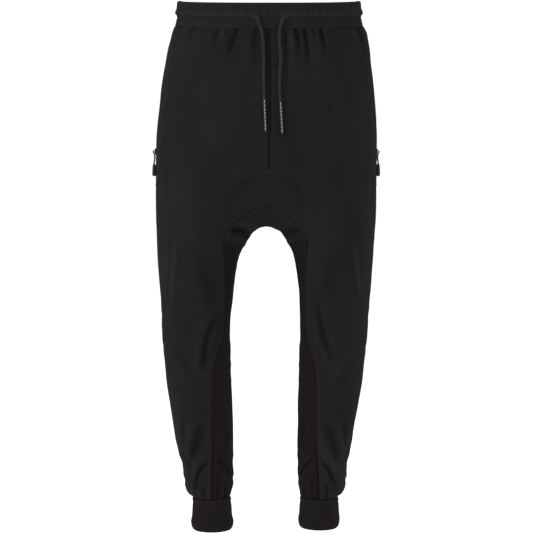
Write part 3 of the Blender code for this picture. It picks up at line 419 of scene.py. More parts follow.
ANKLE_SEAM = (790.0, 870.0, 1.7)     # from the first drop to the second it deepens by this share
PANEL_SEEDS = {"front_left": 11, "front_right": 23, "back_left": 37, "back_right": 51}
# unevenness of a panel: depth, size across and down, slants; broad sags, streaks of drape, small bumps
PANEL_SAGS = ((0.75, 46, 85, 0.0, 0.0), (0.35, 17, 60, 0.2, 0.0), (0.16, 9, 12, 0.0, 0.4))


def line_distance(u, v, line):
    """Distance to a line of points, and how far along it the nearest place is, 0 to 1."""
    best = np.full(u.shape, 1e9)
    share = np.zeros(u.shape)
    run = lengths(line)
    for k in range(len(line) - 1):
        a, step = line[k], line[k + 1] - line[k]
        t = np.clip(((u - a[0]) * step[0] + (v - a[1]) * step[1]) / max(step @ step, 1e-9), 0, 1)
        away = np.hypot(u - a[0] - t * step[0], v - a[1] - t * step[1])
        near = away < best
        best = np.where(near, away, best)
        share = np.where(near, (run[k] + t * (run[k + 1] - run[k])) / run[-1], share)
    return best, share


def rounded_line(points, count=14):
    """More points on a smooth line through a crease's own."""
    points = np.array(points, dtype=float)
    run = lengths(points)
    at = np.linspace(0, run[-1], count)
    return np.stack([smooth_line(run, points[:, k])(at) for k in (0, 1)], axis=1)


def crease_lines(side):
    """Every crease of a side as reach (front minus, back plus) and drop."""
    made = []
    for kind, points, half_width, depth in CREASES["both"] + CREASES[side]:
        if kind == "side":
            line = points
        else:
            sign = -1 if kind == "front" else 1
            line = [(sign * reach_at_x(drop, kind, x), drop) for x, drop in points]
        made.append((rounded_line(line), half_width, depth))
    return made


CREASE_LINES = {side: crease_lines(side) for side in SIDES}


def ridged(t, at=RIDGE_AT, width=RIDGE_WIDTH):
    """A crease's profile: its dip and a ridge beside it."""
    return hump(t) - RIDGE_SHARE * hump((t - at) / width)


def crease_relief(side, reach, drop, uneven):
    relief = np.zeros(reach.shape)
    for line, half_width, depth in CREASE_LINES[side]:
        room = 2.4 * half_width
        near = ((reach > line[:, 0].min() - room) & (reach < line[:, 0].max() + room)
                & (drop > line[:, 1].min() - room) & (drop < line[:, 1].max() + room))
        if near.any():
            away, share = line_distance(reach[near], drop[near], line)
            taper = 0.25 + 0.75 * np.sqrt(np.clip(4 * share * (1 - share), 0, 1))
            relief[near] += depth * taper * ridged(away / (half_width * (1 + 0.18 * uneven[near])))
    return relief


def fine_gathers(panel, place, drop):
    """Small gathers right below the band, each with its own reach, depth and lean."""
    dice = np.random.RandomState(sum(map(ord, panel)))
    relief = np.zeros(place.shape)
    at = 4.0
    while at < 262:
        end = BAND_HEIGHT + dice.uniform(14, 46)
        depth = FINE_GATHER_DEPTH * dice.uniform(0.5, 1.25)
        half = dice.uniform(3.2, 5.4)
        slant = dice.uniform(-4, 4)
        down = (drop - BAND_HEIGHT) / (end - BAND_HEIGHT)
        relief += depth * hump(down) * hump((place - at - slant * down) / half)
        at += FINE_GATHER_PITCH * dice.uniform(0.7, 1.35)
    return relief


def large_gathers(panel, place, drop):
    relief = np.zeros(place.shape)
    for at, end, depth, half_width, slant in GATHERS[panel]:
        down = (drop - BAND_HEIGHT) / (end - BAND_HEIGHT)
        t = (place - at - slant * down) / half_width
        relief += depth * hump(down) * ridged(np.abs(t), GATHER_RIDGE_AT, GATHER_RIDGE_WIDTH)
    return relief


def seam_profile(away, dip=SEAM_DIP, swell=SEAM_SWELL):
    """How a cloth edge rolls into its seam, with the allowance's swell beside it."""
    return dip * hump(away / SEAM_ROLL) - swell * hump((away - SEAM_SWELL_AT) / SEAM_SWELL_WIDTH)


def seam_strength(side, face, drop):
    """The inner seam lies deep at the ankle and hardly shows on the front between crotch and knee."""
    start, end, more = ANKLE_SEAM
    strength = 1.0 + more * ramp(drop, start, end)
    if face == "front":
        for middle, reach, share in (KNEE_SEAM, ARC_SEAM) if side == "left" else (KNEE_SEAM,):
            strength = strength * (1 - share * hump((drop - middle) / reach))
    return strength


def inner_seam_line(face):
    """The inner seam as reach (always plus) and drop, arc's top to ankle."""
    places = [arc_point(turn) for turn in np.linspace(0, 90, 31)]
    places += [(float(SEAM_X(drop)), drop) for drop in np.linspace(452, 937, 60)]
    return np.array([(reach_at_x(drop, face, x), drop) for x, drop in places])


INNER_SEAM = {face: inner_seam_line(face) for face in ("front", "back")}


def panel_relief(panel, side, face, reach, drop, place):
    """How far a long panel's cloth is pressed in at each place; minus is a swell."""
    signed = -reach if face == "front" else reach
    uneven = patchwork(signed + 640, drop, 22, 30, 5 if side == "left" else 6)
    away, _ = line_distance(reach, drop, INNER_SEAM[face])
    middle = reach_at_middle(face, drop) - reach
    inside = np.clip(away / SEAM_QUIET, 0, 1) * np.clip(middle / SEAM_QUIET, 0, 1)
    sewn = SEWN_GATHER + (1 - SEWN_GATHER) * ramp(drop, BAND_HEIGHT, BAND_HEIGHT + SEWN_GATHER_END)
    relief = sewn * (large_gathers(panel, place, drop) + fine_gathers(panel, place, drop))
    relief = relief + inside * crease_relief(side, signed, drop, uneven)
    relief = relief - OUTER_EDGE_AT[side](drop) * hump(reach / OUTER_EDGE_REACH)
    quiet = ramp(reach, 0, 25) * ramp(drop, BAND_HEIGHT, BAND_HEIGHT + 20) * ramp(-drop, -ANKLE, 20 - ANKLE) * inside
    for k, (depth, across, down, slant, fall) in enumerate(PANEL_SAGS):
        sag = patchwork(reach + slant * drop, drop + fall * reach, across, down, PANEL_SEEDS[panel] + 1 + k)
        relief = relief + quiet * depth * sag
    past = np.maximum(np.abs(drop - VALLEY_MIDDLE) - VALLEY_HALF_LENGTH, 0.0)
    relief = relief + VALLEY_DEPTH * hump(reach / VALLEY_HALF_WIDTH) * hump(past / VALLEY_FADE)
    relief = relief + seam_profile(reach) * (1 - hump(past / VALLEY_FADE))
    relief = relief + seam_profile(drop - BAND_HEIGHT, 0.4, 0.0) + seam_profile(ANKLE - drop, 0.8, 0.35)
    relief = relief + seam_strength(side, face, drop) * seam_profile(away, 1.0, 0.3)
    low_share = FRONT_SEAM_SHARE if face == "front" else 1.0
    strong = np.where(drop < FRONT_SEAM_END, 1.0, low_share) * ramp(-drop, -ARC_TOP, 8 - ARC_TOP)
    relief = relief + (seam_profile(middle, 0.95, 0.3) + MIDDLE_TROUGH * hump(middle / 6.5)) * strong
    return np.where(drop < BAND_HEIGHT + 0.1, np.maximum(relief, ALLOWANCE_DEPTH), relief)


MIDDLE_DROPS = np.linspace(40, 450, 83)
MIDDLE_REACHES = {face: np.array([outline(drop, face)[1][-1] for drop in MIDDLE_DROPS])
                  for face in ("front", "back")}


def reach_at_middle(face, drop):
    """Reach of the middle of the front or back, and far away below the arc."""
    middle = np.interp(drop, MIDDLE_DROPS, MIDDLE_REACHES[face])
    return np.where(drop > ARC_TOP, 1e4, middle)


WAIST_LENGTH = {face: float(outline(BAND_HEIGHT, face)[1][-1]) for face in ("front", "back")}


def skin(panel, drops, reaches, lift=0.0):
    """Points and outward directions of a long panel's cloth; reaches has a row for each drop."""
    face, side = panel.split("_")
    drops, reaches = np.asarray(drops, float), np.asarray(reaches, float)
    base = np.array([base_at(drop, face, row) for drop, row in zip(drops, reaches)])
    normal = np.array([normal_at(drop, face, row) for drop, row in zip(drops, reaches)])
    drop = np.repeat(drops[:, None], reaches.shape[1], axis=1)
    first = np.array([first_reach(d, face) for d in drops])[:, None]
    place = (1 - reaches / first) * WAIST_LENGTH[face]
    relief = panel_relief(panel, side, face, reaches, drop, place)
    on_side = reaches < 0.05
    normal[on_side] = square_to(normal[on_side], 1)
    on_middle = (reaches > first - 0.05) & (drop < ARC_TOP)
    normal[on_middle] = square_to(normal[on_middle], 0)
    points = base + normal * (lift - relief)[..., None]
    if side == "right":
        points, normal = mirrored(points), mirrored(normal)
    return points, normal, relief


def seam_x_at(drop):
    """The inner seam's x at a drop: 0 above the arc, then along the arc and down the leg."""
    if drop <= ARC_TOP:
        return 0.0
    if drop >= ARC_TOP + ARC_HEIGHT:
        return float(SEAM_X(drop))
    cosine = (1 - (drop - ARC_TOP) / ARC_HEIGHT) ** (ARC_POWER / 2)
    return ARC_HALF_WIDTH * math.sqrt(max(1 - cosine * cosine, 0.0)) ** (2 / ARC_POWER)


def first_reach(drop, face):
    return reach_at_x(drop, face, seam_x_at(float(drop)))


# ---- meshes --------------------------------------------------------------------------------------

ROOT = "root"
INSIDE_PAINTED_SHADE = -2.0      # painted shade on a piece's inner face, on the scale of "crest"


def dress(made, node, body=ROOT):
    """Gives a piece its body and hides the solid that it stands for, if it has one."""
    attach(made, body)
    if node:
        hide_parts(node)
    return made


def linked(name, data):
    made = bpy.data.objects.new(name, data)
    bpy.context.scene.collection.objects.link(made)
    return made


def make_mesh(name, points, faces, material, uv=None, crest=None, smooth=True):
    """A mesh from placed points and faces (quads or mixed), with a UV map and a crest attribute of painted shade and
    highlight.
    """
    mesh = bpy.data.meshes.new(name)
    mesh.from_pydata(np.asarray(points).tolist(), [], [list(f) for f in faces])
    mesh.update()
    if uv is not None:
        layer = mesh.uv_layers.new(name="UVMap")
        corners = np.empty(len(mesh.loops), np.int32)
        mesh.loops.foreach_get("vertex_index", corners)
        layer.data.foreach_set("uv", np.asarray(uv, np.float32)[corners].ravel())
    if crest is not None:
        layer = mesh.attributes.new("crest", "FLOAT", "POINT")
        layer.data.foreach_set("value", np.asarray(crest, np.float32).ravel())
    mesh.materials.append(material)
    if smooth:
        mesh.shade_smooth()
    return linked(name, mesh)


def grid_faces(rows, cols, base=0, closed=False):
    """Quads of a grid, row by row."""
    row, col = np.meshgrid(np.arange(rows - 1), np.arange(cols if closed else cols - 1), indexing="ij")
    there = (col + 1) % cols if closed else col + 1
    a, b = row * cols + col, row * cols + there
    c, d = (row + 1) * cols + there, (row + 1) * cols + col
    return (np.stack((a, b, c, d), axis=-1).reshape(-1, 4) + base).tolist()


def edge_walk(rows, cols):
    """The grid's border vertices in order."""
    return (list(range(cols)) + [r * cols + cols - 1 for r in range(1, rows)]
            + [(rows - 1) * cols + c for c in range(cols - 2, -1, -1)]
            + [r * cols for r in range(rows - 2, 0, -1)])


def face_out(faces, flip):
    return [face[::-1] for face in faces] if flip else faces


def orient_out(made):
    """Turns a closed mesh's faces outwards if its volume comes out negative."""
    mesh = made.data
    mesh.calc_loop_triangles()
    co = np.empty(len(mesh.vertices) * 3)
    mesh.vertices.foreach_get("co", co)
    corners = np.empty(len(mesh.loop_triangles) * 3, np.int32)
    mesh.loop_triangles.foreach_get("vertices", corners)
    a, b, c = np.moveaxis(co.reshape(-1, 3)[corners].reshape(-1, 3, 3), 1, 0)
    if (a * np.cross(b, c)).sum() < 0:
        mesh.flip_normals()
    return made


def sheet_uv(reaches, drops):
    """UV in metres from reaches (rows of columns) and the rows' drops."""
    return np.stack(np.broadcast_arrays(reaches, np.asarray(drops)[:, None]), axis=-1) * METRE


def painted_cloth_shade(relief):
    """Painted light on the cloth: a painted highlight on what stands out, painted shade in folds."""
    return np.clip(-relief / 2.0, -1.5, 1.5)


def shell(name, outer, normals, thickness, material, uv, crest, flip=False):
    """A thin closed sheet: the outer grid, an inner grid half as fine, and a rim all round.

    flip builds the faces the other way round; orient_out isn't called here, so the long panels keep
    the way round that flip gives.
    """
    rows, cols = outer.shape[:2]
    inner = (outer - normals * thickness)[::2, ::2]
    in_rows, in_cols = inner.shape[:2]
    points = np.vstack((placed(outer).reshape(-1, 3), placed(inner).reshape(-1, 3)))
    under = rows * cols
    faces = face_out(grid_faces(rows, cols), flip) + face_out(grid_faces(in_rows, in_cols, under), not flip)
    fine, coarse = edge_walk(rows, cols), edge_walk(in_rows, in_cols)
    rim = []
    for k, here in enumerate(coarse):
        there = coarse[(k + 1) % len(coarse)]
        a, b, c = fine[2 * k], fine[2 * k + 1], fine[(2 * k + 2) % len(fine)]
        rim.append([c, b, a, under + here, under + there])
    faces += face_out(rim, flip)
    uvs = np.vstack((uv.reshape(-1, 2), uv[::2, ::2].reshape(-1, 2)))
    # the inner face gets painted shade
    painted_shades = np.concatenate((crest.ravel(), crest[::2, ::2].ravel() + INSIDE_PAINTED_SHADE))
    return make_mesh(name, points, faces, material, uvs, painted_shades)


def tube_shell(name, outer, inner, levels, around, material, crest, flip=False):
    """A tube's wall from outer rings and coarser inner rings, with both sets' drops for the UV."""
    rings, count = outer.shape[:2]
    in_rings, in_count = inner.shape[:2]
    ratio = count // in_count
    points = np.vstack((placed(outer).reshape(-1, 3), placed(inner).reshape(-1, 3)))
    under = rings * count
    faces = face_out(grid_faces(rings, count, 0, True), flip)
    faces += face_out(grid_faces(in_rings, in_count, under, True), not flip)
    for ring, in_ring, turned in ((0, 0, flip), (rings - 1, in_rings - 1, not flip)):
        start = under + in_ring * in_count
        faces += face_out([[start + k, start + (k + 1) % in_count]
                           + [ring * count + (k * ratio + j) % count for j in range(ratio, -1, -1)]
                           for k in range(in_count)], turned)
    uvs = [sheet_uv(np.linspace(0, around, n), at).reshape(-1, 2) for n, at in zip((count, in_count), levels)]
    # the inner wall gets painted shade
    painted_shades = np.concatenate((crest.ravel(), np.full(in_rings * in_count, INSIDE_PAINTED_SHADE)))
    return orient_out(make_mesh(name, points, faces, material, np.vstack(uvs), painted_shades))


def ring_body(name, rings, ends, material, uv, crest=None):
    """A closed body from rings of millimetre points, with a point at each end."""
    count, last = rings.shape[1], rings.shape[0] * rings.shape[1]
    faces = face_out(grid_faces(len(rings), count, 0, True), True)
    faces += [[last, (k + 1) % count, k] for k in range(count)]
    faces += [[last + 1, last - count + k, last - count + (k + 1) % count] for k in range(count)]
    points = np.vstack((rings.reshape(-1, 3), *ends)) * METRE
    return orient_out(make_mesh(name, points, faces, material, uv, crest))


# ---- finishes --------------------------------------------------------------------------------------

def node_adder(tree):
    """A short way to add a node with its settings, and inputs that are values or sockets to link."""
    def add(kind, inputs=(), **settings):
        node = tree.nodes.new(kind)
        for key, value in settings.items():
            setattr(node, key, value)
        for key, value in dict(inputs).items():
            if isinstance(value, bpy.types.NodeSocket):
                tree.links.new(value, node.inputs[key])
            else:
                node.inputs[key].default_value = value
        return node
    return add


class Finish:
    """A new material, with short ways to make what its shader needs."""

    def __init__(self, name):
        self.made = bpy.data.materials.new(name)
        self.made.use_nodes = True
        self.add = node_adder(self.made.node_tree)
        self.shader = self.made.node_tree.nodes["Principled BSDF"]
        self.place = self.add("ShaderNodeTexCoord").outputs["Object"]

    def uv(self):
        return self.add("ShaderNodeUVMap", uv_map="UVMap").outputs["UV"]

    def attribute(self, name):
        return self.add("ShaderNodeAttribute", attribute_name=name).outputs["Fac"]

    def noise(self, scale, detail):
        return self.add("ShaderNodeTexNoise", {"Vector": self.place, "Scale": scale, "Detail": detail}).outputs["Fac"]

    def math(self, kind, a, b=0.0):
        return self.add("ShaderNodeMath", {0: a, 1: b}, operation=kind).outputs[0]

    def total(self, base, *parts):
        """The base and each part times its share."""
        for part, share in parts:
            base = self.math("ADD", base, self.math("MULTIPLY", part, share))
        return base

    def product(self, *parts):
        made = parts[0]
        for part in parts[1:]:
            made = self.math("MULTIPLY", made, part)
        return made

    def mix(self, share, a, b):
        return self.add("ShaderNodeMix", {"Factor": share, 6: a, 7: b}, data_type="RGBA").outputs[2]

    def scaled(self, colour, tone):
        return self.add("ShaderNodeVectorMath", {0: colour, "Scale": tone}, operation="SCALE").outputs["Vector"]

    def stripes(self, vector, direction, pitch):
        """A sine across a vector, one wave a pitch (in the vector's own units), between -1 and 1."""
        turns = tuple(2 * math.pi / pitch * part for part in direction)
        dot = self.add("ShaderNodeVectorMath", {0: vector, 1: turns}, operation="DOT_PRODUCT").outputs["Value"]
        return self.math("SINE", dot)

    def done(self, colour, bump=None, **values):
        """Joins colour and bump (height, strength, metres), and other inputs with _ for a space."""
        values["Base_Color"] = colour
        if bump is not None:
            height, strength, distance = bump
            values["Normal"] = self.add("ShaderNodeBump", {"Height": height, "Strength": strength,
                                                           "Distance": distance}).outputs["Normal"]
        for key, value in values.items():
            socket = self.shader.inputs[key.replace("_", " ")]
            if isinstance(value, bpy.types.NodeSocket):
                self.made.node_tree.links.new(value, socket)
            else:
                socket.default_value = value
        return self.made


def cloth_finish(name, colour, weave, pitch, rough=0.86, sheen=0.02, bump=0.00016, painted_shade_share=0.26, other=None):
    """Black cloth: woven or knitted bump at real scale, soft sheen, uneven dye, a painted highlight on its crests and
    painted shade in its folds.

    Where the blend attribute is 0 it has the other colour, if one is given; on the inner panel the blend paints
    shade.
    """
    f = Finish(name)
    uv = f.uv()
    if weave == "twill":
        height = f.total(f.stripes(uv, (1.0, 0.8, 0), pitch), (f.stripes(uv, (1.0, -0.35, 0), pitch * 0.62), 0.4))
    elif weave == "rib":
        height = f.total(f.stripes(uv, (1, 0, 0), pitch), (f.stripes(uv, (0.5, 1, 0), pitch * 0.55), 0.3))
    else:
        height = f.product(f.stripes(uv, (1, 0, 0), pitch), f.stripes(uv, (0, 1, 0), pitch))
    fuzz, patches = f.noise(900.0, 3.0), f.noise(9.0, 2.0)
    # the crest attribute adds a painted highlight and painted shade; patches and fuzz are uneven dye
    tone = f.total(0.84, (f.attribute("crest"), painted_shade_share), (patches, 0.16), (fuzz, 0.16))
    tone = f.add("ShaderNodeClamp", {"Value": tone, "Min": 0.42, "Max": 1.5}).outputs[0]
    if other is not None:
        colour = f.mix(f.attribute("tone_and_shade"), (*other, 1.0), (*colour, 1.0))
    return f.done(f.scaled(colour, tone), (f.total(height, (fuzz, 0.8)), 0.55, bump),
                  Roughness=f.total(rough - 0.05, (patches, 0.10)), Sheen_Weight=sheen, Sheen_Roughness=0.45,
                  Specular_IOR_Level=0.0)


BODY_COLOUR = (0.0130, 0.0127, 0.0145)
# the inner colour is darker and warmer: partly the cloth's own tone, partly painted shade
INNER_SHADED_COLOUR = (0.0109, 0.0084, 0.0106)
BAND_COLOUR = (0.0137, 0.0135, 0.0151)
RIB_COLOUR = (0.0120, 0.0100, 0.0120)
TAPE_COLOUR = (0.0102, 0.0102, 0.0110)
THREAD_COLOUR = (0.0134, 0.0134, 0.0146)
TEETH_COLOUR = (0.015, 0.015, 0.017)
CORD_COLOUR = (0.0170, 0.0170, 0.0185)
TIP_COLOUR = (0.0125, 0.0125, 0.0135)
DASH_COLOUR = (0.40, 0.40, 0.40, 1.0)
GRIP_COLOUR = (0.0115, 0.0115, 0.0125)
ENAMEL_COLOUR = (0.0105, 0.0105, 0.0115)
DASH_PITCH = 0.0070      # plain pale dashes along the dipped cord tips, in metres
DASH_LENGTH = 0.0052
DASH_START = 0.003
DASH_END = 0.059
DASH_HALF_WIDTH = 0.0006


def thread_finish(name, colour, rough=0.55):
    """Twisted sewing thread: fine slanting strands."""
    f = Finish(name)
    tone = f.total(0.85, (f.noise(1500.0, 2.0), 0.3))
    return f.done(f.scaled(colour, tone), (f.stripes(f.place, (0.7, 0.3, 1.0), 0.00045), 0.5, 0.00008),
                  Roughness=rough, Sheen_Weight=0.04, Specular_IOR_Level=0.2)


def braid_finish():
    """Round braid: yarns of fine filaments, with a painted highlight on the raised yarns and painted shade between
    them.
    """
    f = Finish("cord_braid_yarn")
    uv, fuzz = f.uv(), f.noise(1300.0, 2.0)
    filaments = f.product(f.stripes(uv, (1.0, 0.9, 0), 0.0004), f.stripes(uv, (1.0, -0.9, 0), 0.0004))
    tone = f.total(0.72, (f.attribute("crest"), 0.30), (fuzz, 0.25))
    return f.done(f.scaled(CORD_COLOUR, tone), (f.math("ADD", filaments, fuzz), 0.5, 0.00012), Roughness=0.75,
                  Specular_IOR_Level=0.15, Sheen_Weight=0.06, Sheen_Roughness=0.4)


def rubber_finish(name, colour, dashes=False):
    """Dipped or moulded rubber: faint grain, soft gloss; the tips carry a row of plain dashes."""
    f = Finish(name)
    grain = f.noise(420.0, 3.0)
    base = f.scaled(colour, f.total(0.85, (grain, 0.3)))
    if dashes:
        parts = f.add("ShaderNodeSeparateXYZ", {0: f.uv()}).outputs
        across, along = f.math("ABSOLUTE", parts["X"]), parts["Y"]
        phase = f.math("MODULO", f.math("SUBTRACT", along, DASH_START), DASH_PITCH)
        worn = f.product(f.math("LESS_THAN", across, DASH_HALF_WIDTH), f.math("LESS_THAN", phase, DASH_LENGTH),
                         f.math("GREATER_THAN", along, DASH_START), f.math("LESS_THAN", along, DASH_END),
                         f.total(0.6, (grain, 0.4)))
        base = f.mix(worn, base, DASH_COLOUR)
    return f.done(base, (grain, 0.3, 0.0001), Roughness=f.total(0.4, (grain, 0.15)), Specular_IOR_Level=0.2)


def enamel_finish():
    """Black enamel over metal, rubbed a little brighter at random spots."""
    f = Finish("black_enamel")
    rub = f.noise(260.0, 4.0)
    return f.done(f.scaled(ENAMEL_COLOUR, f.total(0.6, (rub, 0.8))), (rub, 0.2, 0.00008),
                  Roughness=f.total(0.4, (rub, 0.2)), Specular_IOR_Level=0.03)


body_cloth = cloth_finish("black_twill", BODY_COLOUR, "twill", 0.0009)
inner_cloth = cloth_finish("inner_leg_cloth_painted_shade", INNER_SHADED_COLOUR, "twill", 0.0008, other=BODY_COLOUR)
band_cloth = cloth_finish("gathered_twill", BAND_COLOUR, "twill", 0.0009)
rib_cloth = cloth_finish("rib_knit", RIB_COLOUR, "rib", 0.0014, rough=0.9, bump=0.0003)
tape_cloth = cloth_finish("zip_tape_weave", TAPE_COLOUR, "plain", 0.0007, rough=0.8, sheen=0.03)
thread = thread_finish("sewing_thread", THREAD_COLOUR)
teeth_finish = thread_finish("coil_teeth", TEETH_COLOUR, 0.35)
tip_rubber = rubber_finish("dipped_cord_tip", TIP_COLOUR, dashes=True)
grip_rubber = rubber_finish("moulded_grip", GRIP_COLOUR)
braid = braid_finish()
enamel = enamel_finish()

# ---- camera, light and floor -----------------------------------------------------------------------

CAMERA_PLACE = (-0.0047, -3.4, -0.33)
FRAME_MIDDLE = -0.5000   # height that the picture's middle looks at
FRAME_HEIGHT = 1.0074    # what the frame spans where the garment stands
SENSOR = 36.0
SHIFT = -0.045
FLOOR_HEIGHT = -1.20
FLOOR_HALF = 14.0
WHITE = (1.0, 1.0, 1.0, 1.0)
WORLD_STRENGTH = 1.02
LIGHTS = {               # each lamp's place, what it shines at, its size and its power
    "key": ((-1.5, -1.25, 0.45), (-0.08, 0, -0.2), 0.8, 14),
    "fill": ((2.2, -2.4, -0.2), (0, 0, -0.7), 1.6, 3),
    "back": ((0.6, 2.6, 1.2), (0, 0, -0.5), 1.6, 26),
}


def make_camera():
    data = bpy.data.cameras.new("camera")
    made = linked("camera", data)
    away = -CAMERA_PLACE[1]
    fall = (CAMERA_PLACE[2] - FRAME_MIDDLE) + SHIFT * FRAME_HEIGHT
    tilt = math.atan2(fall, away)
    made.location = CAMERA_PLACE
    made.rotation_euler = (math.pi / 2 - tilt, 0, 0)
    data.sensor_width = SENSOR
    data.lens = SENSOR * away / math.cos(tilt) / FRAME_HEIGHT
    data.shift_y = SHIFT
    bpy.context.scene.camera = made


def make_light(name, place, target, size, power):
    data = bpy.data.lights.new(name, "AREA")
    data.shape, data.size, data.energy = "DISK", size, power
    made = linked(name, data)
    made.location = place
    way = np.array(target) - np.array(place)
    flat = math.hypot(way[0], way[1])
    made.rotation_euler = (math.atan2(flat, -way[2]), 0, math.atan2(way[1], way[0]) - math.pi / 2)


def make_surroundings():
    scene = bpy.context.scene
    scene.view_settings.view_transform = "Standard"
    scene.view_settings.look = "None"
    world = bpy.data.worlds.new("studio")
    scene.world = world
    world.use_nodes = True
    back = world.node_tree.nodes["Background"]
    back.inputs["Color"].default_value = WHITE
    back.inputs["Strength"].default_value = WORLD_STRENGTH
    f = Finish("pale_floor")
    pale = f.done(f.scaled(WHITE[:3], f.total(0.92, (f.noise(0.8, 2.0), 0.03))), Roughness=0.9,
                  Emission_Color=WHITE, Emission_Strength=0.15)
    half, low = FLOOR_HALF, FLOOR_HEIGHT
    corners = [(-half, -half, low), (half, -half, low), (half, half, low), (-half, half, low)]
    make_mesh("floor", corners, [(0, 1, 2, 3)], pale, smooth=False)


make_camera()
make_surroundings()
for lamp, settings in LIGHTS.items():
    make_light(lamp, *settings)

# ---- drawcords -------------------------------------------------------------------------------------

CORD_RADIUS = 2.9
TIP_RADIUS = 3.15
TIP_LENGTH = 62.0
SEAM_GAP = 0.3
CORD_HIDDEN = (7.0, 4.6, 2.2)    # from a cord's exit to its first, hidden point inside the band
# each cord from its exit down: x, drop, and how far its middle stands off the cloth
CORDS = {
    "right": ((-21.5, 26.5, 2.9), (-20.5, 31.5, 5.6), (-17.5, 39.5, 6.2), (-13.5, 52.0, 5.6),
              (-11.2, 68.0, 3.9), (-10.2, 90.0, 3.4), (-9.5, 115.0, 3.4), (-8.7, 140.0, 3.4),
              (-7.6, 163.0, 3.4), (-6.0, 184.0, 3.5)),
    "left": ((25.5, 28.0, 2.9), (24.0, 33.0, 5.6), (20.8, 41.0, 6.2), (18.6, 54.0, 5.6),
             (18.6, 70.0, 3.9), (20.8, 92.0, 3.4), (21.4, 112.0, 3.4), (20.2, 138.0, 3.4),
             (20.8, 163.0, 3.4), (23.4, 188.0, 3.5)),
}
TIP_ENDS = {"right": (-1.8, 246.0, 3.5), "left": (28.6, 250.0, 3.5)}
# place along a tip, and its thickness there as a share
TIP_SECTIONS = ((0.0, 0.93), (0.5, 1.0), (1.5, 1.03), (3.0, 1.0), (20.0, 0.985), (31.0, 1.0), (45.0, 0.985),
                (59.0, 1.0), (60.6, 0.97), (61.4, 0.85), (61.8, 0.6), (TIP_LENGTH, 0.3))
TIP_STEP = 1.5
CORD_STEP = 0.7
CORD_SIDES = 32
BRAID_YARNS = 8          # yarns each way round the cord
BRAID_PITCH = 15.0       # a yarn goes once round in this length
BRAID_RELIEF = 0.22


def ring_points(corners, count):
    closed = np.vstack((corners, corners[:1]))
    run = lengths(closed)
    at = np.linspace(0, run[-1], count, endpoint=False)
    return np.stack((np.interp(at, run, closed[:, 0]), np.interp(at, run, closed[:, 1])), axis=1)


def band_outline(drop, count, inset=0.0):
    """The waistband's ring at a drop, from the middle of the front round by the wearer's left."""
    half_width, front_y, back_y = (float(BAND_LINE[name](drop)) for name in BAND_COLUMNS)
    half_width, front_y, back_y = half_width - inset, front_y + inset, back_y - inset
    outwards, round_by = rounded_quarter()
    across = BAND_CREST_X + outwards * (half_width - BAND_CREST_X)
    front, back = (np.stack((across, y + round_by * (BAND_SIDE_Y - y)), axis=1) for y in (front_y, back_y))
    half = np.vstack(([[0.0, front_y]], front, back[-2::-1], [[0.0, back_y]]))
    other = (half * np.array([-1.0, 1.0]))[-2:0:-1]
    return ring_points(np.vstack((half, other)), count)


def ring_normals(ring):
    tangent = np.roll(ring, -1, axis=0) - np.roll(ring, 1, axis=0)
    normal = unit(np.stack((-tangent[:, 1], tangent[:, 0]), axis=1))
    return normal if np.sum(normal * ring) > 0 else -normal


def pressed_ring(ring, relief, drop):
    """A ring at its drop, pressed in by its relief."""
    out = ring_normals(ring - ring.mean(axis=0))
    return np.column_stack((ring - out * np.asarray(relief)[..., None], np.full(len(ring), drop)))


def front_surface(x, drop):
    """y of the garment's front at an x and drop, band or body."""
    if drop < BAND_HEIGHT:
        ring = band_outline(drop, 360)
        front = ring[ring[:, 1] < 0]
        front = front[np.argsort(front[:, 0])]
        return float(np.interp(x, front[:, 0], front[:, 1]))
    points = outline(drop, "front")[0]
    return float(np.interp(abs(x), points[:, 0], points[:, 1]))


def cord_point(x, drop, off):
    """A drawcord's point in leaning millimetres, standing off the cloth."""
    y = front_surface(x, drop) - off
    return np.array([x + float(LEAN_AT(drop)), y, -drop + float(TILT_AT(drop)) * float(tipped(y))])


def smooth_route(points, step):
    points = np.array(points)
    run = lengths(points)
    lines = [smooth_line(run, points[:, axis]) for axis in range(3)]
    at = np.linspace(0, run[-1], int(round(run[-1] / step)) + 1)
    return np.stack([line(at) for line in lines], axis=1)


def round_frames(path, first):
    """Two directions square to a path at each point, without twist."""
    tangent = unit(np.gradient(path, axis=0))
    side = np.array(first)
    sides = []
    for t in tangent:
        side = side - t * (side @ t)
        side = side / np.linalg.norm(side)
        sides.append(side)
    sides = np.array(sides)
    return tangent, sides, np.cross(tangent, sides)


def round_piece(name, path, radii, count, material, relief=None, first=(1.0, 0.0, 0.0), flat=(1.0, 1.0)):
    """A round or flattened piece along a millimetre path, with closed ends and a UV in metres."""
    tangent, side, other = round_frames(path, first)
    side, other = side * flat[0], other * flat[1]
    angle = np.linspace(0, 2 * np.pi, count, endpoint=False)
    run = lengths(path)
    radius = np.repeat(np.asarray(radii, float)[:, None], count, axis=1)
    crest = np.zeros(radius.shape)
    if relief is not None:
        # the relief also sets the crest attribute: painted highlight and shade of the yarns
        crest = relief(angle[None, :], run[:, None])
        radius = radius + BRAID_RELIEF * crest
    rings = (path[:, None, :] + radius[..., None] * (np.cos(angle)[None, :, None] * side[:, None, :]
                                                     + np.sin(angle)[None, :, None] * other[:, None, :]))
    turned = ((angle - np.pi / 2 + np.pi) % (2 * np.pi)) - np.pi
    uv = np.vstack((sheet_uv(turned * np.max(radii), run).reshape(-1, 2), [[0, 0], [0, run[-1] * METRE]]))
    return ring_body(name, rings, (path[0] - 0.2 * tangent[0], path[-1] + 0.2 * tangent[-1]), material, uv,
                     np.concatenate((crest.ravel(), [0.0, 0.0])))


def braid_relief(angle, along):
    """Yarns crossing over and under each other round a cord."""
    turn = 2 * np.pi * along / BRAID_PITCH
    one, two = BRAID_YARNS * (angle + turn) / 2, BRAID_YARNS * (angle - turn) / 2
    over = np.sin(one) * np.sin(two)
    return np.where(over > 0, np.abs(np.sin(one)), np.abs(np.sin(two))) ** 0.7 * 1.4 - 0.9


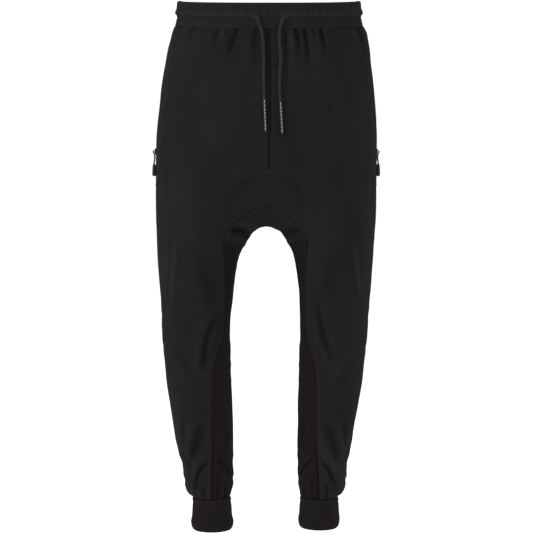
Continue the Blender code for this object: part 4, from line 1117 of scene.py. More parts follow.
def drawcord(side):
    points = [cord_point(*row) for row in CORDS[side]]
    hidden = points[0] + np.array(CORD_HIDDEN) * (OUTWARD[side], 1.0, 1.0)
    path = smooth_route([hidden] + points, CORD_STEP)
    made = round_piece("drawcord_look_" + side, path, np.full(len(path), CORD_RADIUS), CORD_SIDES, braid,
                       braid_relief)
    dress(made, "drawcord_" + side)
    towards = unit(cord_point(*TIP_ENDS[side]) - points[-1])
    along, scale = np.array(TIP_SECTIONS).T
    fine = np.unique(np.concatenate((along, np.arange(0, TIP_LENGTH, TIP_STEP))))
    tip = round_piece("cord_tip_look_" + side, points[-1] + (SEAM_GAP + fine[:, None]) * towards,
                      TIP_RADIUS * np.interp(fine, along, scale), CORD_SIDES, tip_rubber)
    dress(tip, "cord_tip_" + side)


for side in SIDES:
    drawcord(side)

# ---- the long panels -------------------------------------------------------------------------------

EDGE_STEPS = (0.0, 0.7, 1.4, 2.3, 3.4, 4.8, 6.6)     # columns crowd beside a seam
EVEN_START = 9.0         # and stand even from here on
PANEL_COLUMNS = 97
ARC_ROWS = 25
ARC_TURNS = np.linspace(0, 90, ARC_ROWS)
LEG_START, LEG_END = 451.0, 927.0
PANEL_END = 936.85       # the panels end just above the cuffs
CUFF_EDGE = (930.0, 932.4, 934.2, 935.4, 936.2, PANEL_END)
# Drops of a long panel's rows, an odd number of them, crowded at its seams; the first two lie behind
# the band, one more below it makes the number odd.
PANEL_DROPS = np.sort(np.concatenate((
    (44.0, 47.0, 47.15, 47.45, 47.8, 48.6, 49.6, 51.0, 52.8), np.linspace(55.0, 379.0, 121), (381.0, 382.4, 383.3),
    [arc_point(turn)[1] for turn in ARC_TURNS], np.linspace(LEG_START, LEG_END, 165), CUFF_EDGE)))


def panel_reaches(drop, face):
    """Reaches of a row's columns from the inner seam to the side seam."""
    first = first_reach(drop, face)
    edge = np.array(EDGE_STEPS)
    middle = np.linspace(first - EVEN_START, EVEN_START, PANEL_COLUMNS - 2 * len(edge))
    return np.concatenate((first - edge, middle, edge[::-1]))


def long_panel(panel):
    face, side = panel.split("_")
    reaches = np.array([panel_reaches(drop, face) for drop in PANEL_DROPS])
    points, normals, relief = skin(panel, PANEL_DROPS, reaches)
    made = shell(panel + "_look", points, normals, CLOTH, body_cloth, sheet_uv(reaches, PANEL_DROPS),
                 painted_cloth_shade(relief), (side == "right") != (face == "back"))
    return dress(made, panel)


panels = {panel: long_panel(panel) for panel in PANEL_SEEDS}

# ---- the inner panel -------------------------------------------------------------------------------

CROSS_PULL = 0.75
CROSS_EASE = 0.12        # columns crowd a little towards the seams and the middle
INNER_UV_WIDTH = 150.0
INNER_SEEDS = {"right": 71, "left": 83}
TINT_START = 428.0       # the inner panel is painted in the body's tone over the crotch and from here down in its darker colour, partly its own tone and partly painted shade
TINT_END = 462.0
SHADED_DEPTH = 0.5       # and has painted shade between crotch and knee, round this drop, so far
SHADED_MIDDLE = 530.0
SHADED_REACH = 170.0
CROSS_STEPS = 22         # columns from a seam to the panel's middle
CROTCH_END = 500.0       # creases above this are shallower on the wearer's left, by this share
LEFT_CROTCH_SHARE = 0.6
INNER_LEG_ROWS = np.concatenate((np.linspace(LEG_START, LEG_END, 151), CUFF_EDGE))
INNER_CREASES = (        # share across from the front seam (0) to the back (1), drop, half width, depth
    (((0.05, 428), (0.14, 432), (0.28, 438), (0.46, 446)), 8, 5.4),
    (((0.10, 862), (0.20, 872), (0.30, 890)), 4.5, 2.8),
    (((0.04, 880), (0.10, 896), (0.12, 912)), 5, 2.0),
    (((0.20, 790), (0.24, 812), (0.22, 836)), 9, 1.8),
    (((0.55, 668), (0.72, 656), (0.90, 640)), 11, 2.6),
    (((0.60, 700), (0.78, 692), (0.95, 690)), 11, 2.2),
    (((0.50, 872), (0.68, 878), (0.86, 862)), 9, 2.4),
    (((0.46, 902), (0.62, 908), (0.80, 900)), 7, 1.8),
    (((0.30, 560), (0.42, 590), (0.46, 640)), 16, 1.4),
    (((0.13, 918), (0.10, 928), (0.09, 936)), 3.2, 2.4),
    (((0.24, 912), (0.25, 926), (0.23, 936)), 3.4, 2.4),
    (((0.66, 914), (0.66, 936)), 3.4, 1.3),
    (((0.82, 916), (0.81, 936)), 3.2, 1.0),
)


def seam_rows(face):
    """The inner seam: rows from the arc's top down, with normals and steps into the long panel."""
    rows = [arc_point(turn) for turn in ARC_TURNS] + [(float(SEAM_X(d)), float(d)) for d in INNER_LEG_ROWS]
    places = [(drop, face, np.array([reach_at_x(drop, face, x)])) for x, drop in rows]
    line = np.array([base_at(*place)[0] for place in places])
    normals = np.array([normal_at(*place)[0] for place in places])
    normals[-1], normals[0] = square_to(normals[-1], 2), square_to(normals[0], 0)
    seam = unit(np.gradient(line, axis=0))
    steps = unit(np.cross(seam, normals))
    steps *= np.where(steps[:, 0] >= 0, 1.0, -1.0)[:, None]
    steps[0] = unit(np.cross((1.0, 0.0, 0.0), normals[0]))
    if steps[0][2] > 0:
        steps[0] *= -1.0
    return line, normals, steps


def cross_line(start, start_step, middle):
    """Points across the panel from a seam to its middle, leaving both smoothly."""
    reach = np.linalg.norm(middle - start)
    towards = np.array([0.0, math.copysign(1.0, middle[1] - start[1]), 0.0])
    first = start - start_step * reach * CROSS_PULL / 2
    last = middle - towards * reach * CROSS_PULL / 2
    even = np.linspace(0, 1, CROSS_STEPS + 1)
    return bezier(start, first, last, middle, even - CROSS_EASE * np.sin(2 * np.pi * even) / np.pi)


def inner_half():
    """The smooth inner panel on the wearer's left: rows from the arc's top down, columns front to back."""
    front, front_normals, front_steps = seam_rows("front")
    back, back_normals, back_steps = seam_rows("back")
    middles = [[ARCH_LINE[name](turn) for name in ("x", "y", "drop")] for turn in ARC_TURNS]
    for drop in INNER_LEG_ROWS:
        low = drop + ARCH_LAG * hump((drop - ARCH_LAG_START) / (ARCH_LAG_END - ARCH_LAG_START))
        middles.append([SECTION["inner_x"](low), SECTION["inner_front_y"](low), min(low, PANEL_END)])
    rows = []
    for k, middle in enumerate(np.array(middles, dtype=float)):
        rear = cross_line(back[k], back_steps[k], middle)[::-1]
        rows.append(np.vstack((cross_line(front[k], front_steps[k], middle), rear[1:])))
    return np.array(rows), front_normals, back_normals


def inner_relief(points, share, side):
    """Creases, seams and unevenness of one half of the inner panel."""
    drop = points[..., 2]
    wide = np.linalg.norm(np.diff(points, axis=1), axis=2).sum(axis=1)[:, None]
    across = share * wide
    relief = (0.55 * patchwork(across, drop, 30, 60, INNER_SEEDS[side])
              + 0.25 * patchwork(across, drop, 12, 22, INNER_SEEDS[side] + 1))
    relief = relief * ramp(across, 0, 15) * ramp(wide - across, 0, 15)
    fade = ramp(np.minimum(across, wide - across), 0, SEAM_QUIET)
    for line, half_width, depth in INNER_CREASES:
        strength = LEFT_CROTCH_SHARE if side == "left" and line[0][1] < CROTCH_END else 1.0
        rows = [(u * float(np.interp(d, drop[:, 0], wide[:, 0])), d) for u, d in line]
        away, _ = line_distance(across, drop, rounded_line(rows))
        relief = relief + fade * strength * depth * ridged(away / half_width)
    relief = relief + seam_strength(side, "front", drop) * seam_profile(across, 1.0, 0.0)
    relief = relief + seam_strength(side, "back", drop) * seam_profile(wide - across, 1.0, 0.2)
    relief = relief - INNER_EDGE_AT[side](drop) * hump((share - 0.5) / 0.5)
    return relief + seam_profile(ANKLE - drop, 0.8, 0.3)


def both_halves(half):
    return np.concatenate((mirrored(half[:0:-1]), half))


def inner_panel():
    half, front_normals, back_normals = inner_half()
    share = np.linspace(0, 1, half.shape[1])[None, :].repeat(len(half), axis=0)
    grid = both_halves(half)
    normals = unit(np.cross(np.gradient(grid, axis=1), np.gradient(grid, axis=0)))
    if normals[len(half) - 1, CROSS_STEPS, 2] < 0:
        normals = -normals
    normals[:, 0], normals[:, -1] = both_halves(front_normals), both_halves(back_normals)
    for row in (0, -1):
        normals[row] = square_to(normals[row], 2)
    relief = np.concatenate((inner_relief(half, share, "right")[:0:-1], inner_relief(half, share, "left")))
    points = grid - normals * relief[..., None]
    drop = points[..., 2]
    shaded = SHADED_DEPTH * hump((drop - SHADED_MIDDLE) / SHADED_REACH)
    uv = sheet_uv(share[0] * INNER_UV_WIDTH, lengths(grid[:, CROSS_STEPS]))
    made = orient_out(shell("inner_panel_look", points, normals, INNER_CLOTH, inner_cloth, uv,
                            painted_cloth_shade(relief + 2 * shaded)))
    # painted shade: a blend from the body's tone to the inner colour down the leg
    tone_and_shade = ramp(drop, TINT_START, TINT_END)
    layer = made.data.attributes.new("tone_and_shade", "FLOAT", "POINT")
    layer.data.foreach_set("value", np.concatenate((tone_and_shade.ravel(), tone_and_shade[::2, ::2].ravel())).astype(np.float32))
    return dress(made, "inner_panel"), points, normals


inner, inner_points, inner_normals = inner_panel()

# ---- waistband -------------------------------------------------------------------------------------

BAND_ROUND = 960         # points round the band, outside and inside
BAND_INNER_ROUND = 192
BAND_UV_ROUND = 920.0
BAND_INSET = BAND_CLOTH + 0.8        # from the smooth outside to the inside
BAND_GATHERS = 122
BAND_GATHER_DEPTH = 1.25
LOWER_GATHERS = 0.6      # how deep they are below the cord channel, as a share
GROOVES = (27.5, 32.5)   # the two stitched lines below the cord channel
GROOVE_DIP = 0.75
CORD_START = 26.0        # the hidden cord swells the channel from its exits round the back
CORD_START_EASE = 4.0
CORD_LEVEL = 21.5
CORD_SWELL = 1.2


def band_relief(place, drop, around):
    """Gathers of the waistband, each its own width, depth and lean; place in mm round the ring."""
    dice = np.random.RandomState(7)
    pitch = around / BAND_GATHERS
    relief = np.zeros(place.shape)
    channel = ramp(-drop, -30.0, -22.0)
    for k in range(BAND_GATHERS):
        at = (k + dice.uniform(-0.22, 0.22)) * pitch
        half = pitch * dice.uniform(0.42, 0.66)
        depth = BAND_GATHER_DEPTH * dice.uniform(0.55, 1.25)
        lean, upper = dice.uniform(-1.6, 1.6), dice.uniform(0.25, 1.0)
        shift = lean * (drop - 30.0) / 15.0
        away = (place - at - shift + around / 2) % around - around / 2
        relief += depth * (upper * channel + LOWER_GATHERS * (1 - channel)) * hump(away / half)
    return relief


def waistband():
    drops = np.concatenate(((0.0, 0.5, 1.2, 2.2, 3.6), np.linspace(5.2, 25.0, 15), np.linspace(25.8, 34.4, 13),
                            np.linspace(35.6, 44.8, 9), (45.6, 46.2, BAND_END)))
    rings, reliefs = [], []
    for drop in drops:
        ring = band_outline(drop, BAND_ROUND)
        around = lengths(np.vstack((ring, ring[:1])))[-1]
        place = np.linspace(0, around, BAND_ROUND, endpoint=False)
        relief = band_relief(place, drop, around) * (0.35 + 0.65 * ramp(drop, 0, 7))
        corded = ramp(np.minimum(place, around - place), CORD_START - CORD_START_EASE, CORD_START + CORD_START_EASE)
        puckers = (1 + 0.35 * np.sin(place * 2.1)) * (0.35 + 0.65 * corded)
        for groove in GROOVES:
            relief = relief + GROOVE_DIP * hump((drop - groove) / 2.2) * puckers
        relief = relief - corded * CORD_SWELL * hump((drop - CORD_LEVEL) / 7.5)
        relief = relief + 0.4 * hump((BAND_END - drop) / 1.6) + 0.9 * hump(drop / 1.3)
        relief = relief + 0.25 * patchwork(place, np.full(place.shape, drop), 30, 30, 5)
        rings.append(pressed_ring(ring, relief, drop))
        reliefs.append(relief)
    inner_drops = (0.0, 13.0, 22.5, 30.0, 37.0, BAND_END)
    wave = 0.35 * np.cos(np.arange(BAND_INNER_ROUND) * np.pi)
    inner_rings = np.array([pressed_ring(band_outline(drop, BAND_INNER_ROUND, BAND_INSET), wave, drop)
                            for drop in inner_drops])
    # the crest makes the band 0.4 paler overall, with painted shade in its gathers and grooves and a painted
    # highlight on the cord's swell
    made = tube_shell("waistband_look", np.array(rings), inner_rings, (drops, inner_drops), BAND_UV_ROUND,
                      band_cloth, np.clip(0.4 - np.array(reliefs) / 1.4, -1.5, 1.0))
    return dress(made, "waistband"), np.array(rings)


band, band_rings = waistband()

# ---- cuffs -----------------------------------------------------------------------------------------

CUFF_ROUND = 280         # points round a cuff, outside and inside
CUFF_INNER_ROUND = 70
CUFF_AROUND = 245.0
CUFF_TOP = 937.15
CUFF_END = 994.0
CUFF_SEEDS = {"left": 91, "right": 97}
CUFF_STRETCH = {"right": 1.105, "left": 1.04}     # the whole cuff is this much longer than the sections
CUFF_SWELL = {"right": ((CUFF_TOP, 0.0), (943, 0.8), (970, 0.7), (982, 1.6), (CUFF_END, 1.0)),
              "left": ((CUFF_TOP, 0.0), (943, 1.0), (970, 1.0), (985, 0.4), (CUFF_END, 0.0))}
CUFF_SWELL_AT = {side: line_of(CUFF_SWELL[side]) for side in SIDES}
CUFF_SHIFT = {"right": 0.0, "left": 1.3}          # and it lies this much further out
CUFF_SHIFT_EASE = 6.0
CUFF_SEAM_ROLL = ((CUFF_TOP, -0.9), (938.2, -0.2), (939.6, 0.5), (941.2, 0.8), (943.0, 0.6), (945.0, 0.0))
# the inner wall's drops, and how much deeper than the cloth's thickness it lies there
CUFF_INSIDE = ((CUFF_TOP, 0.0), (945.0, 0.0), (960.0, 0.0), (978.0, 0.0), (990.0, 0.3), (993.2, 0.0),
               (CUFF_END, -0.5))
HEM_HEIGHT = 3.0         # the lower end turns in over this height, by this much
HEM_TURN = 1.1


def cuff_ring(drop, inset, count):
    dense = np.vstack((half_outline(drop, "front"), half_outline(drop, "back")[::-1][1:-1]))
    return pressed_ring(ring_points(dense, count), inset, drop)


def cuff(side):
    roll_drops, roll = np.array(CUFF_SEAM_ROLL).T
    drops = np.concatenate((roll_drops, np.linspace(947, 986, 14), (988.5, 990.6, 992.2, 993.3, 993.9, CUFF_END)))
    place = np.linspace(0, CUFF_AROUND, CUFF_ROUND, endpoint=False)
    seed, swell = CUFF_SEEDS[side], CUFF_SWELL_AT[side]
    rings, reliefs = [], []
    for drop in drops:
        level = np.full(place.shape, drop)
        relief = 0.5 * hump((drop - 939) / 7.0) * patchwork(place, level, 7, 40, seed)
        relief = relief + 0.3 * hump((drop - 965) / 28.0) * patchwork(place, level, 26, 20, seed + 1)
        turned = max(drop - CUFF_END + HEM_HEIGHT, 0.0) / HEM_HEIGHT
        relief = relief + HEM_TURN * (1 - math.sqrt(max(1 - turned * turned, 0.0)))
        relief = relief - np.interp(drop, roll_drops, roll, right=0.0)
        rings.append(cuff_ring(drop, relief - swell(drop), CUFF_ROUND))
        reliefs.append(relief)
    inner_drops, insets = np.array(CUFF_INSIDE).T
    inner_rings = [cuff_ring(drop, RIB_CLOTH + inset - swell(drop), CUFF_INNER_ROUND)
                   for drop, inset in zip(inner_drops, insets)]
    rings, inner_rings = np.array(rings), np.array(inner_rings)
    for part in (rings, inner_rings):
        part[..., 0] += CUFF_SHIFT[side] * ramp(part[..., 2], CUFF_TOP, CUFF_TOP + CUFF_SHIFT_EASE)
        part[..., 0] *= OUTWARD[side]
        part[..., 2] = CUFF_TOP + (part[..., 2] - CUFF_TOP) * CUFF_STRETCH[side]
    # the crest gives painted shade where the rib is pressed in and a painted highlight where it swells
    made = tube_shell("cuff_look_" + side, rings, inner_rings, (drops, inner_drops), CUFF_AROUND, rib_cloth,
                      np.clip(-np.array(reliefs), -1, 1), side == "right")
    return dress(made, "cuff_" + side)


cuffs = {side: cuff(side) for side in SIDES}

# ---- rows of stitches and teeth: one node group, used for each row -----------------------------------

STITCH_SEGMENTS = 6
STITCH_RINGS = 4
ROW_SEED = 3
ROW_SIZES = ("Pitch", "Length", "Width", "Height")
# these four sizes of each kind of stitch and of the coils' teeth
FACING_STITCHES = (2.9, 2.3, 0.5, 0.42)
COIL_TEETH = (1.9, 3.1, 0.95, 1.2)
TAPE_STITCHES = (2.6, 2.0, 0.42, 0.34)
BAND_STITCHES = (3.0, 2.4, 0.5, 0.42)
CROTCH_STITCHES = (2.9, 2.3, 0.5, 0.45)
BUTTONHOLE_STITCHES = (0.5, 2.0, 0.5, 0.7)
TACK_STITCHES = (0.4, 1.8, 0.45, 0.4)


def row_group():
    """Small rounded bodies along lines that carry their outward direction in the attribute "out"."""
    group = bpy.data.node_groups.new("stitch_row", "GeometryNodeTree")
    sockets = group.interface.new_socket
    sockets("Geometry", in_out="INPUT", socket_type="NodeSocketGeometry")
    for name in (*ROW_SIZES, "Turn", "Unevenness"):
        sockets(name, in_out="INPUT", socket_type="NodeSocketFloat")
    sockets("Seed", in_out="INPUT", socket_type="NodeSocketInt")
    sockets("Finish", in_out="INPUT", socket_type="NodeSocketMaterial")
    sockets("Geometry", in_out="OUTPUT", socket_type="NodeSocketGeometry")
    add = node_adder(group)
    given = add("NodeGroupInput").outputs
    line = add("GeometryNodeMeshToCurve", {"Mesh": given["Geometry"]}).outputs[0]
    spaced = add("GeometryNodeResampleCurve", {"Curve": line, "Length": given["Pitch"]}, mode="LENGTH").outputs[0]
    out = add("GeometryNodeInputNamedAttribute", {"Name": "out"}, data_type="FLOAT_VECTOR").outputs["Attribute"]
    tangent = add("GeometryNodeInputTangent").outputs[0]
    along = add("FunctionNodeAlignRotationToVector", {"Vector": tangent}, axis="X").outputs[0]
    upright = add("FunctionNodeAlignRotationToVector", {"Rotation": along, "Vector": out}, axis="Z",
                  pivot_axis="X").outputs[0]
    low = add("ShaderNodeMath", {0: given["Unevenness"], 1: -1.0}, operation="MULTIPLY").outputs[0]
    wobble = add("FunctionNodeRandomValue", {2: low, 3: given["Unevenness"], "Seed": given["Seed"]},
                 data_type="FLOAT").outputs[1]
    angle = add("ShaderNodeMath", {0: given["Turn"], 1: wobble}, operation="ADD").outputs[0]
    euler = add("ShaderNodeCombineXYZ", {"Z": angle}).outputs[0]
    turn = add("FunctionNodeEulerToRotation", {0: euler}).outputs[0]
    turned = add("FunctionNodeRotateRotation", {"Rotation": upright, "Rotate By": turn},
                 rotation_space="LOCAL").outputs[0]
    size = add("ShaderNodeCombineXYZ", {"X": given["Length"], "Y": given["Width"], "Z": given["Height"]}).outputs[0]
    ball = add("GeometryNodeMeshUVSphere", {"Segments": STITCH_SEGMENTS, "Rings": STITCH_RINGS, "Radius": 0.5})
    smooth = add("GeometryNodeSetShadeSmooth", {"Geometry": ball.outputs["Mesh"]}).outputs[0]
    placed_on = add("GeometryNodeInstanceOnPoints", {"Points": spaced, "Instance": smooth, "Rotation": turned,
                                                     "Scale": size}).outputs[0]
    solid = add("GeometryNodeRealizeInstances", {"Geometry": placed_on}).outputs[0]
    finished = add("GeometryNodeSetMaterial", {"Geometry": solid, "Material": given["Finish"]}).outputs[0]
    add("NodeGroupOutput", {"Geometry": finished})
    return group


ROW_GROUP = row_group()


def stitch_row(name, lines, sizes, turn=0.0, unevenness=0.06, finish=thread):
    """Stitches or teeth in millimetres along lines of straight points, each with outward directions."""
    points, outs, edges = [], [], []
    for line, out in lines:
        base = len(points)
        points += [tuple(p) for p in placed(line)]
        outs += [tuple(o) for o in np.asarray(out) * np.array([1.0, 1.0, -1.0])]
        edges += [(base + k, base + k + 1) for k in range(len(line) - 1)]
    mesh = bpy.data.meshes.new(name)
    mesh.from_pydata(points, edges, [])
    layer = mesh.attributes.new("out", "FLOAT_VECTOR", "POINT")
    layer.data.foreach_set("vector", np.asarray(outs, np.float32).ravel())
    made = linked(name, mesh)
    modifier = made.modifiers.new("row", "NODES")
    modifier.node_group = ROW_GROUP
    values = {key: size * METRE for key, size in zip(ROW_SIZES, sizes)}
    values.update({"Turn": turn, "Unevenness": unevenness, "Seed": ROW_SEED, "Finish": finish})
    for item in ROW_GROUP.interface.items_tree:
        if item.in_out == "INPUT" and item.name in values:
            modifier[item.identifier] = values[item.name]
    graph = bpy.context.evaluated_depsgraph_get()
    solid = bpy.data.meshes.new_from_object(made.evaluated_get(graph))
    made.modifiers.clear()
    made.data = solid
    solid.name = name
    return dress(made, None)


# ---- side zips: facing, tape, teeth, slider and pull -------------------------------------------------

FACING_TOP = 47.6
FACING_END = 350.0
FACING_CORNER = 30.0     # its lower front corner is rounded over this height
# drop, and how far in front of the side seam the facing's edge lies
FRONT_EDGE_AT = line_of(((47, 53.0), (60, 54.0), (110, 60.0), (180, 68.0), (350, 69.0)))
FACING_BACK = 9.5
FACING_FOOT = 8.0        # what is left of its width at the bottom
FACING_CLOTH = 0.8
FACING_LIFT = 0.8
FACING_EDGE_LIFT = 0.15
FACING_RIM = (0.0, 0.4, 0.9, 1.6, 2.6)
FACING_STITCH = 5.5      # the line of stitches runs this far inside its front edge
STITCH_PULL = 0.3        # and pulls the cloth in, with painted shade along it
ZIP_TOP = 96.0
ZIP_END = 296.0
ZIP_HALF_WIDTH = 7.5
TAPE = 0.7
TAPE_LIFT = 0.9
TAPE_HALF_COLUMNS = (1.0, 0.93, 0.8, 0.6, 0.4, 0.25, 0.12)     # shares of the half width
TAPE_SEAMS = (-4.6, 4.6)
COILS = (("front", -1.1, 1.36), ("back", 1.1, -1.36))     # name, place across the seam, turn of its teeth
COIL_LIFT = 1.1
HINGE_DROP = 284.0
HINGE_OUT = 4.0
SLIDER_LENGTH = 12.0
SLIDER_WIDTH = 8.4
SLIDER_HEIGHT = 2.4
SLIDER_FOOT = -4.05      # its foot, measured from the pull's hinge
# the shield's left outline from top to bottom, in halves of its length and width
SHIELD = ((-1.0, 0.0), (-1.0, -0.5), (-0.8, -0.76), (-0.2, -0.9), (0.35, -1.0), (0.75, -0.9), (1.0, -0.5),
          (1.0, 0.0))
SHIELD_POINTS = 56
# height above the slider's foot, and its size there as a share: rounded edges and a groove between plates
SLIDER_LEVELS = ((0.0, 0.90), (0.12, 0.965), (0.35, 1.0), (0.95, 1.0), (1.05, 0.93), (1.25, 0.93), (1.35, 1.0),
                 (1.95, 1.0), (2.2, 0.97), (2.35, 0.90), (SLIDER_HEIGHT, 0.80))
BRIDGE_REACH = 2.1       # half the bridge's length
BRIDGE_RISE = 0.3        # its middle lies this far above the hinge
BRIDGE_CROWN = 0.6       # its upper leg is thicker than its lower one by this share
BRIDGE_FLAT = (1.1, 0.7)
LOOP_RADIUS = 1.3
LOOP_BEND_RADIUS = 0.7   # where it bends through the bridge
LOOP_HALF_WIDTH = 2.9
LOOP_LENGTH = 22.0
LOOP_BOW = -2.0          # its middle bends this much towards the body
LOOP_LAY = 5.0           # its yarns go once round in this length
GRIP_LENGTH = 23.5
GRIP_WIDTH = 8.8
GRIP_THICKNESS = 7.8
GRIP_INWARD = 0.6
GRIP_POINTS = 40
GRIP_POWER = 0.75        # below 1 its section is squarer than an ellipse
# share of the grip's length, and its thickness there as a share
GRIP_SECTIONS = ((0.0, 0.28), (0.01, 0.42), (0.04, 0.56), (0.10, 0.70), (0.2, 0.82), (0.35, 0.90), (0.5, 0.93),
                 (0.7, 1.0), (0.85, 0.98), (0.93, 0.86), (0.97, 0.70), (0.99, 0.52), (1.0, 0.30))
RIDGES_START, RIDGES_END, RIDGE_PITCH, RIDGE_DEPTH = 0.28, 0.72, 0.11, 0.045     # shares of it too


def side_skin(side, drops, reaches, lift):
    """Placed-to-be points and directions beside the side seam; reach is minus to the front."""
    ahead, ahead_out, relief = skin("front_" + side, drops, np.maximum(-reaches, 0.0))
    behind, behind_out, _ = skin("back_" + side, drops, np.maximum(reaches, 0.0))
    at_back = (reaches > 0)[..., None]
    points, out = np.where(at_back, behind, ahead), np.where(at_back, behind_out, ahead_out)
    return points + out * lift[..., None], out, relief


def side_line(side, drops, reach, lift):
    """One line of points and directions beside the side seam, at one reach or at a reach each."""
    reaches = np.broadcast_to(reach, drops.shape)[:, None]
    line, out, _ = side_skin(side, drops, reaches, np.full(reaches.shape, lift))
    return line[:, 0], out[:, 0]


def facing_rows():
    """Drops and front edges of a pocket facing's rows, its lower front corner rounded off."""
    corner = FACING_END - FACING_CORNER
    drops = np.concatenate((FACING_TOP + np.array((0.0, 0.5, 1.2)), np.linspace(50.0, corner, 101),
                            corner + FACING_CORNER * np.sin(np.radians(np.linspace(4, 90, 21)))))
    fall = np.maximum(drops - corner, 0.0) / FACING_CORNER
    foot = FACING_BACK + FACING_FOOT
    edge = foot + (FRONT_EDGE_AT(drops) - foot) * np.sqrt(np.maximum(1 - fall * fall, 0.0))
    return drops, edge


def pocket_facing(side):
    drops, edge = facing_rows()
    rim = np.array(FACING_RIM)
    rows = []
    for far in edge:
        small = rim * min(1.0, (far - FACING_BACK) / 16)
        middle = np.linspace(far - 1.6 * small[-1], FACING_BACK + 1.6 * small[-1], 23)
        rows.append(np.concatenate((far - small, middle, (FACING_BACK + small)[::-1])))
    reaches = np.array(rows)
    inside = np.minimum(np.minimum(edge[:, None] - reaches, reaches - FACING_BACK), FACING_END - drops[:, None])
    lift = FACING_EDGE_LIFT + (FACING_LIFT - FACING_EDGE_LIFT) * np.sqrt(np.clip(inside, 0, 1))
    pulled = STITCH_PULL * hump((edge[:, None] - reaches - FACING_STITCH) / 1.3)
    points, out, relief = side_skin(side, drops, -reaches, lift - pulled)
    # the pull also lowers the crest: painted shade along the stitches
    made = orient_out(shell("pocket_facing_look_" + side, points, out, FACING_CLOTH, body_cloth,
                            sheet_uv(reaches, drops), painted_cloth_shade(relief + 2 * pulled)))
    dress(made, "pocket_facing_" + side)
    rows = np.linspace(FACING_TOP + 2, FACING_END - FACING_CORNER, 140)
    line = side_line(side, rows, FACING_STITCH - FRONT_EDGE_AT(rows), FACING_LIFT - 0.2)
    return made, stitch_row("facing_stitches_" + side, [line], FACING_STITCHES)


def zip_tape(side):
    drops = np.linspace(ZIP_TOP, ZIP_END, 121)
    half = np.array(TAPE_HALF_COLUMNS)
    columns = np.concatenate((-half, [0.0], half[::-1]))
    shape = (len(drops), len(columns))
    reaches = np.broadcast_to(columns * ZIP_HALF_WIDTH, shape)
    lift = TAPE_LIFT - 0.3 * hump((1 - np.abs(columns)) / 0.1) - 0.25 * hump(columns / 0.14)
    points, out, _ = side_skin(side, drops, reaches, np.broadcast_to(lift, shape))
    made = orient_out(shell("zip_tape_look_" + side, points, out, TAPE, tape_cloth, sheet_uv(reaches, drops),
                            np.zeros(shape)))
    dress(made, "zip_tape_" + side)
    rows = np.linspace(ZIP_TOP + 2, ZIP_END - 2, 160)
    pieces = [stitch_row(f"coil_{name}_{side}", [side_line(side, rows, reach, COIL_LIFT)], COIL_TEETH,
                         turn * OUTWARD[side], 0.0, teeth_finish) for name, reach, turn in COILS]
    lines = [side_line(side, rows, reach, 1.0) for reach in TAPE_SEAMS]
    return made, pieces + [stitch_row("tape_stitches_" + side, lines, TAPE_STITCHES)]


def hinge_place(side):
    """The pull's pivot in millimetres, in the garment's own frame."""
    out = float(SECTION["half_width"](HINGE_DROP)) + HINGE_OUT
    return np.array([OUTWARD[side] * out + float(LEAN_AT(HINGE_DROP)), float(SECTION["side_y"](HINGE_DROP)),
                     -HINGE_DROP])


def stacked(name, rings, material):
    """A closed body from rings of millimetre points, one above the other."""
    rings = np.asarray(rings)
    u, v = np.meshgrid(np.arange(rings.shape[1]), np.arange(len(rings)))
    uv = np.vstack((np.stack((u, v), axis=-1).reshape(-1, 2), [[0, 0], [0, len(rings)]])) * METRE
    return ring_body(name, rings, (rings[0].mean(axis=0), rings[-1].mean(axis=0)), material, uv)


def slider(side):
    """The slider's shield-shaped body with rounded edges, and the bridge that the pull hangs in."""
    hinge, outward = hinge_place(side), OUTWARD[side]
    shield = np.array(SHIELD) * (SLIDER_LENGTH / 2, SLIDER_WIDTH / 2)
    shield = ring_points(np.vstack((shield, shield[-2:0:-1] * np.array([1.0, -1.0]))), SHIELD_POINTS)
    for _ in range(2):
        shield = (np.roll(shield, 1, axis=0) + shield + np.roll(shield, -1, axis=0)) / 3
    rings = []
    for height, scale in SLIDER_LEVELS:
        along, across = shield.T * scale
        rings.append(np.stack((np.full(SHIELD_POINTS, hinge[0] + outward * (SLIDER_FOOT + height)),
                               hinge[1] + across, hinge[2] + 1.0 + along), axis=1))
    dress(stacked("slider_look_" + side, rings, enamel), "slider_" + side)
    top = SLIDER_FOOT + SLIDER_HEIGHT
    leg = [(-BRIDGE_REACH, top - 0.6), (-BRIDGE_REACH, top + 1.3), (0.5 - BRIDGE_REACH, top + 2.5),
           (1.4 - BRIDGE_REACH, top + 3.35)]
    route = leg + [(-z, out) for z, out in reversed(leg)]
    path = smooth_route([(hinge[0] + outward * out, hinge[1], hinge[2] + BRIDGE_RISE + z) for z, out in route], 0.25)
    crown = 1 + BRIDGE_CROWN * np.clip(path[:, 2] - hinge[2] - BRIDGE_RISE - 0.6, 0, 1)
    bridge = round_piece("slider_bridge_" + side, path, crown, 20, enamel, first=(0.0, 1.0, 0.0), flat=BRIDGE_FLAT)
    dress(bridge, None)


def loop_yarns(angle, along):
    turn = 2 * np.pi * along / LOOP_LAY
    return 0.25 * np.sin(3 * (angle + turn)) * np.sin(3 * (angle - turn))


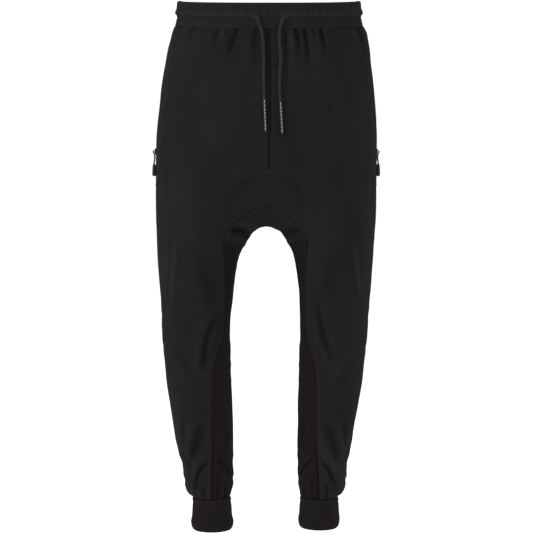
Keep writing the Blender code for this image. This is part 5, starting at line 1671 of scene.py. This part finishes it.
def pull(side):
    """The pull's braided loop through the bridge, and its moulded grip with finger ridges."""
    hinge, outward, body = hinge_place(side), OUTWARD[side], "pull_" + side
    bend = [(LOOP_HALF_WIDTH * math.cos(a), -LOOP_HALF_WIDTH + 0.9 * LOOP_HALF_WIDTH * math.sin(a) + 0.3)
            for a in np.radians((0, 22, 45, 68, 90))]
    half = [(LOOP_HALF_WIDTH * 0.62, -LOOP_LENGTH - 1.0), (LOOP_HALF_WIDTH * 0.9, -LOOP_LENGTH * 0.75),
            (LOOP_HALF_WIDTH, -LOOP_LENGTH * 0.4)] + bend
    route = half + [(-y, z) for y, z in reversed(half[:-1])]
    bow = outward * LOOP_BOW
    path = smooth_route([hinge + np.array([bow * hump(2 * z / LOOP_LENGTH + 1), y, z]) for y, z in route], 0.35)
    radii = LOOP_BEND_RADIUS + (LOOP_RADIUS - LOOP_BEND_RADIUS) * np.clip((hinge[2] - 3.0 - path[:, 2]) / 3.0, 0, 1)
    loop = round_piece("pull_loop_look_" + side, path, radii, 16, braid, loop_yarns)
    dress(loop, "pull_loop_" + side, body)
    share, scale = np.array(GRIP_SECTIONS).T
    angle = np.linspace(0, 2 * np.pi, GRIP_POINTS, endpoint=False)
    across, deep = (np.sign(wave) * np.abs(wave) ** GRIP_POWER for wave in (np.cos(angle), np.sin(angle)))
    rings = []
    for at in np.unique(np.concatenate((share, np.linspace(0.1, 0.9, 61)))):
        ridge = RIDGE_DEPTH * max(0.0, math.sin(2 * math.pi * (at - RIDGES_START) / RIDGE_PITCH))
        half_scale = (np.interp(at, share, scale) - ridge * (RIDGES_START < at < RIDGES_END)) / 2
        rings.append(np.stack((hinge[0] - outward * GRIP_INWARD + GRIP_THICKNESS * half_scale * across,
                               hinge[1] + GRIP_WIDTH * half_scale * deep,
                               np.full(GRIP_POINTS, hinge[2] - LOOP_LENGTH - at * GRIP_LENGTH)), axis=1))
    dress(stacked("pull_grip_look_" + side, rings, grip_rubber), "pull_grip_" + side, body)


facings = {side: pocket_facing(side) for side in SIDES}
tapes = {side: zip_tape(side) for side in SIDES}
for side in SIDES:
    slider(side)
    pull(side)

# ---- stitches of the waistband, crotch arc, buttonholes and tack ---------------------------------------

ARC_STITCH = 5.0         # the arc's line of stitches runs this far inside the inner panel
BUTTONHOLE = (3.6, 4.9)  # half width and half height of the sewn hole round a cord
TACK_PLACE = (0.0, 321.0)
TACK_HALF_WIDTH = 3.2


def band_stitches():
    lines = []
    for groove in GROOVES:
        ring = band_rings[np.argmin(np.abs(band_rings[:, 0, 2] - groove))]
        out = np.column_stack((ring_normals(ring[:, :2]), np.zeros(len(ring))))
        around = np.arange(len(ring) + 1) % len(ring)
        lines.append((ring[around] + 0.1 * out[around], out[around]))
    return stitch_row("waistband_stitches", lines, BAND_STITCHES)


def arc_stitches():
    """A line of stitches below the crotch arc, front and back, just inside the inner panel."""
    middle = len(inner_points) // 2
    lines = []
    for order in (slice(None), slice(None, None, -1)):
        line, out = [], []
        for row in range(middle - ARC_ROWS + 2, middle + ARC_ROWS - 1):
            run = lengths(inner_points[row][order])
            for made, grid in ((line, inner_points), (out, inner_normals)):
                made.append([np.interp(ARC_STITCH, run, grid[row][order][:, k]) for k in range(3)])
        lines.append((np.array(line), unit(np.array(out))))
    return stitch_row("crotch_stitches", lines, CROTCH_STITCHES)


def front_line(places, lift):
    """Points just off the garment's front at x and drop, with outward directions."""
    points = [(x, front_surface(x, drop) - lift, drop) for x, drop in places]
    return np.array(points), np.tile((0.0, -1.0, 0.0), (len(points), 1))


def buttonhole(side):
    x, drop, _ = CORDS[side][0]
    places = [(x + BUTTONHOLE[0] * math.cos(a), drop + BUTTONHOLE[1] * math.sin(a))
              for a in np.linspace(0, 2 * np.pi, 61)]
    return stitch_row("buttonhole_" + side, [front_line(places, 0.2)], BUTTONHOLE_STITCHES, math.pi / 2)


def tack():
    x, drop = TACK_PLACE
    places = [(x + TACK_HALF_WIDTH * share, drop) for share in np.linspace(-1, 1, 9)]
    return stitch_row("front_tack", [front_line(places, 0.0)], TACK_STITCHES, math.pi / 2)


sewn_band, sewn_arc = band_stitches(), arc_stitches()
sewn_holes, sewn_tack = [buttonhole(side) for side in SIDES], tack()
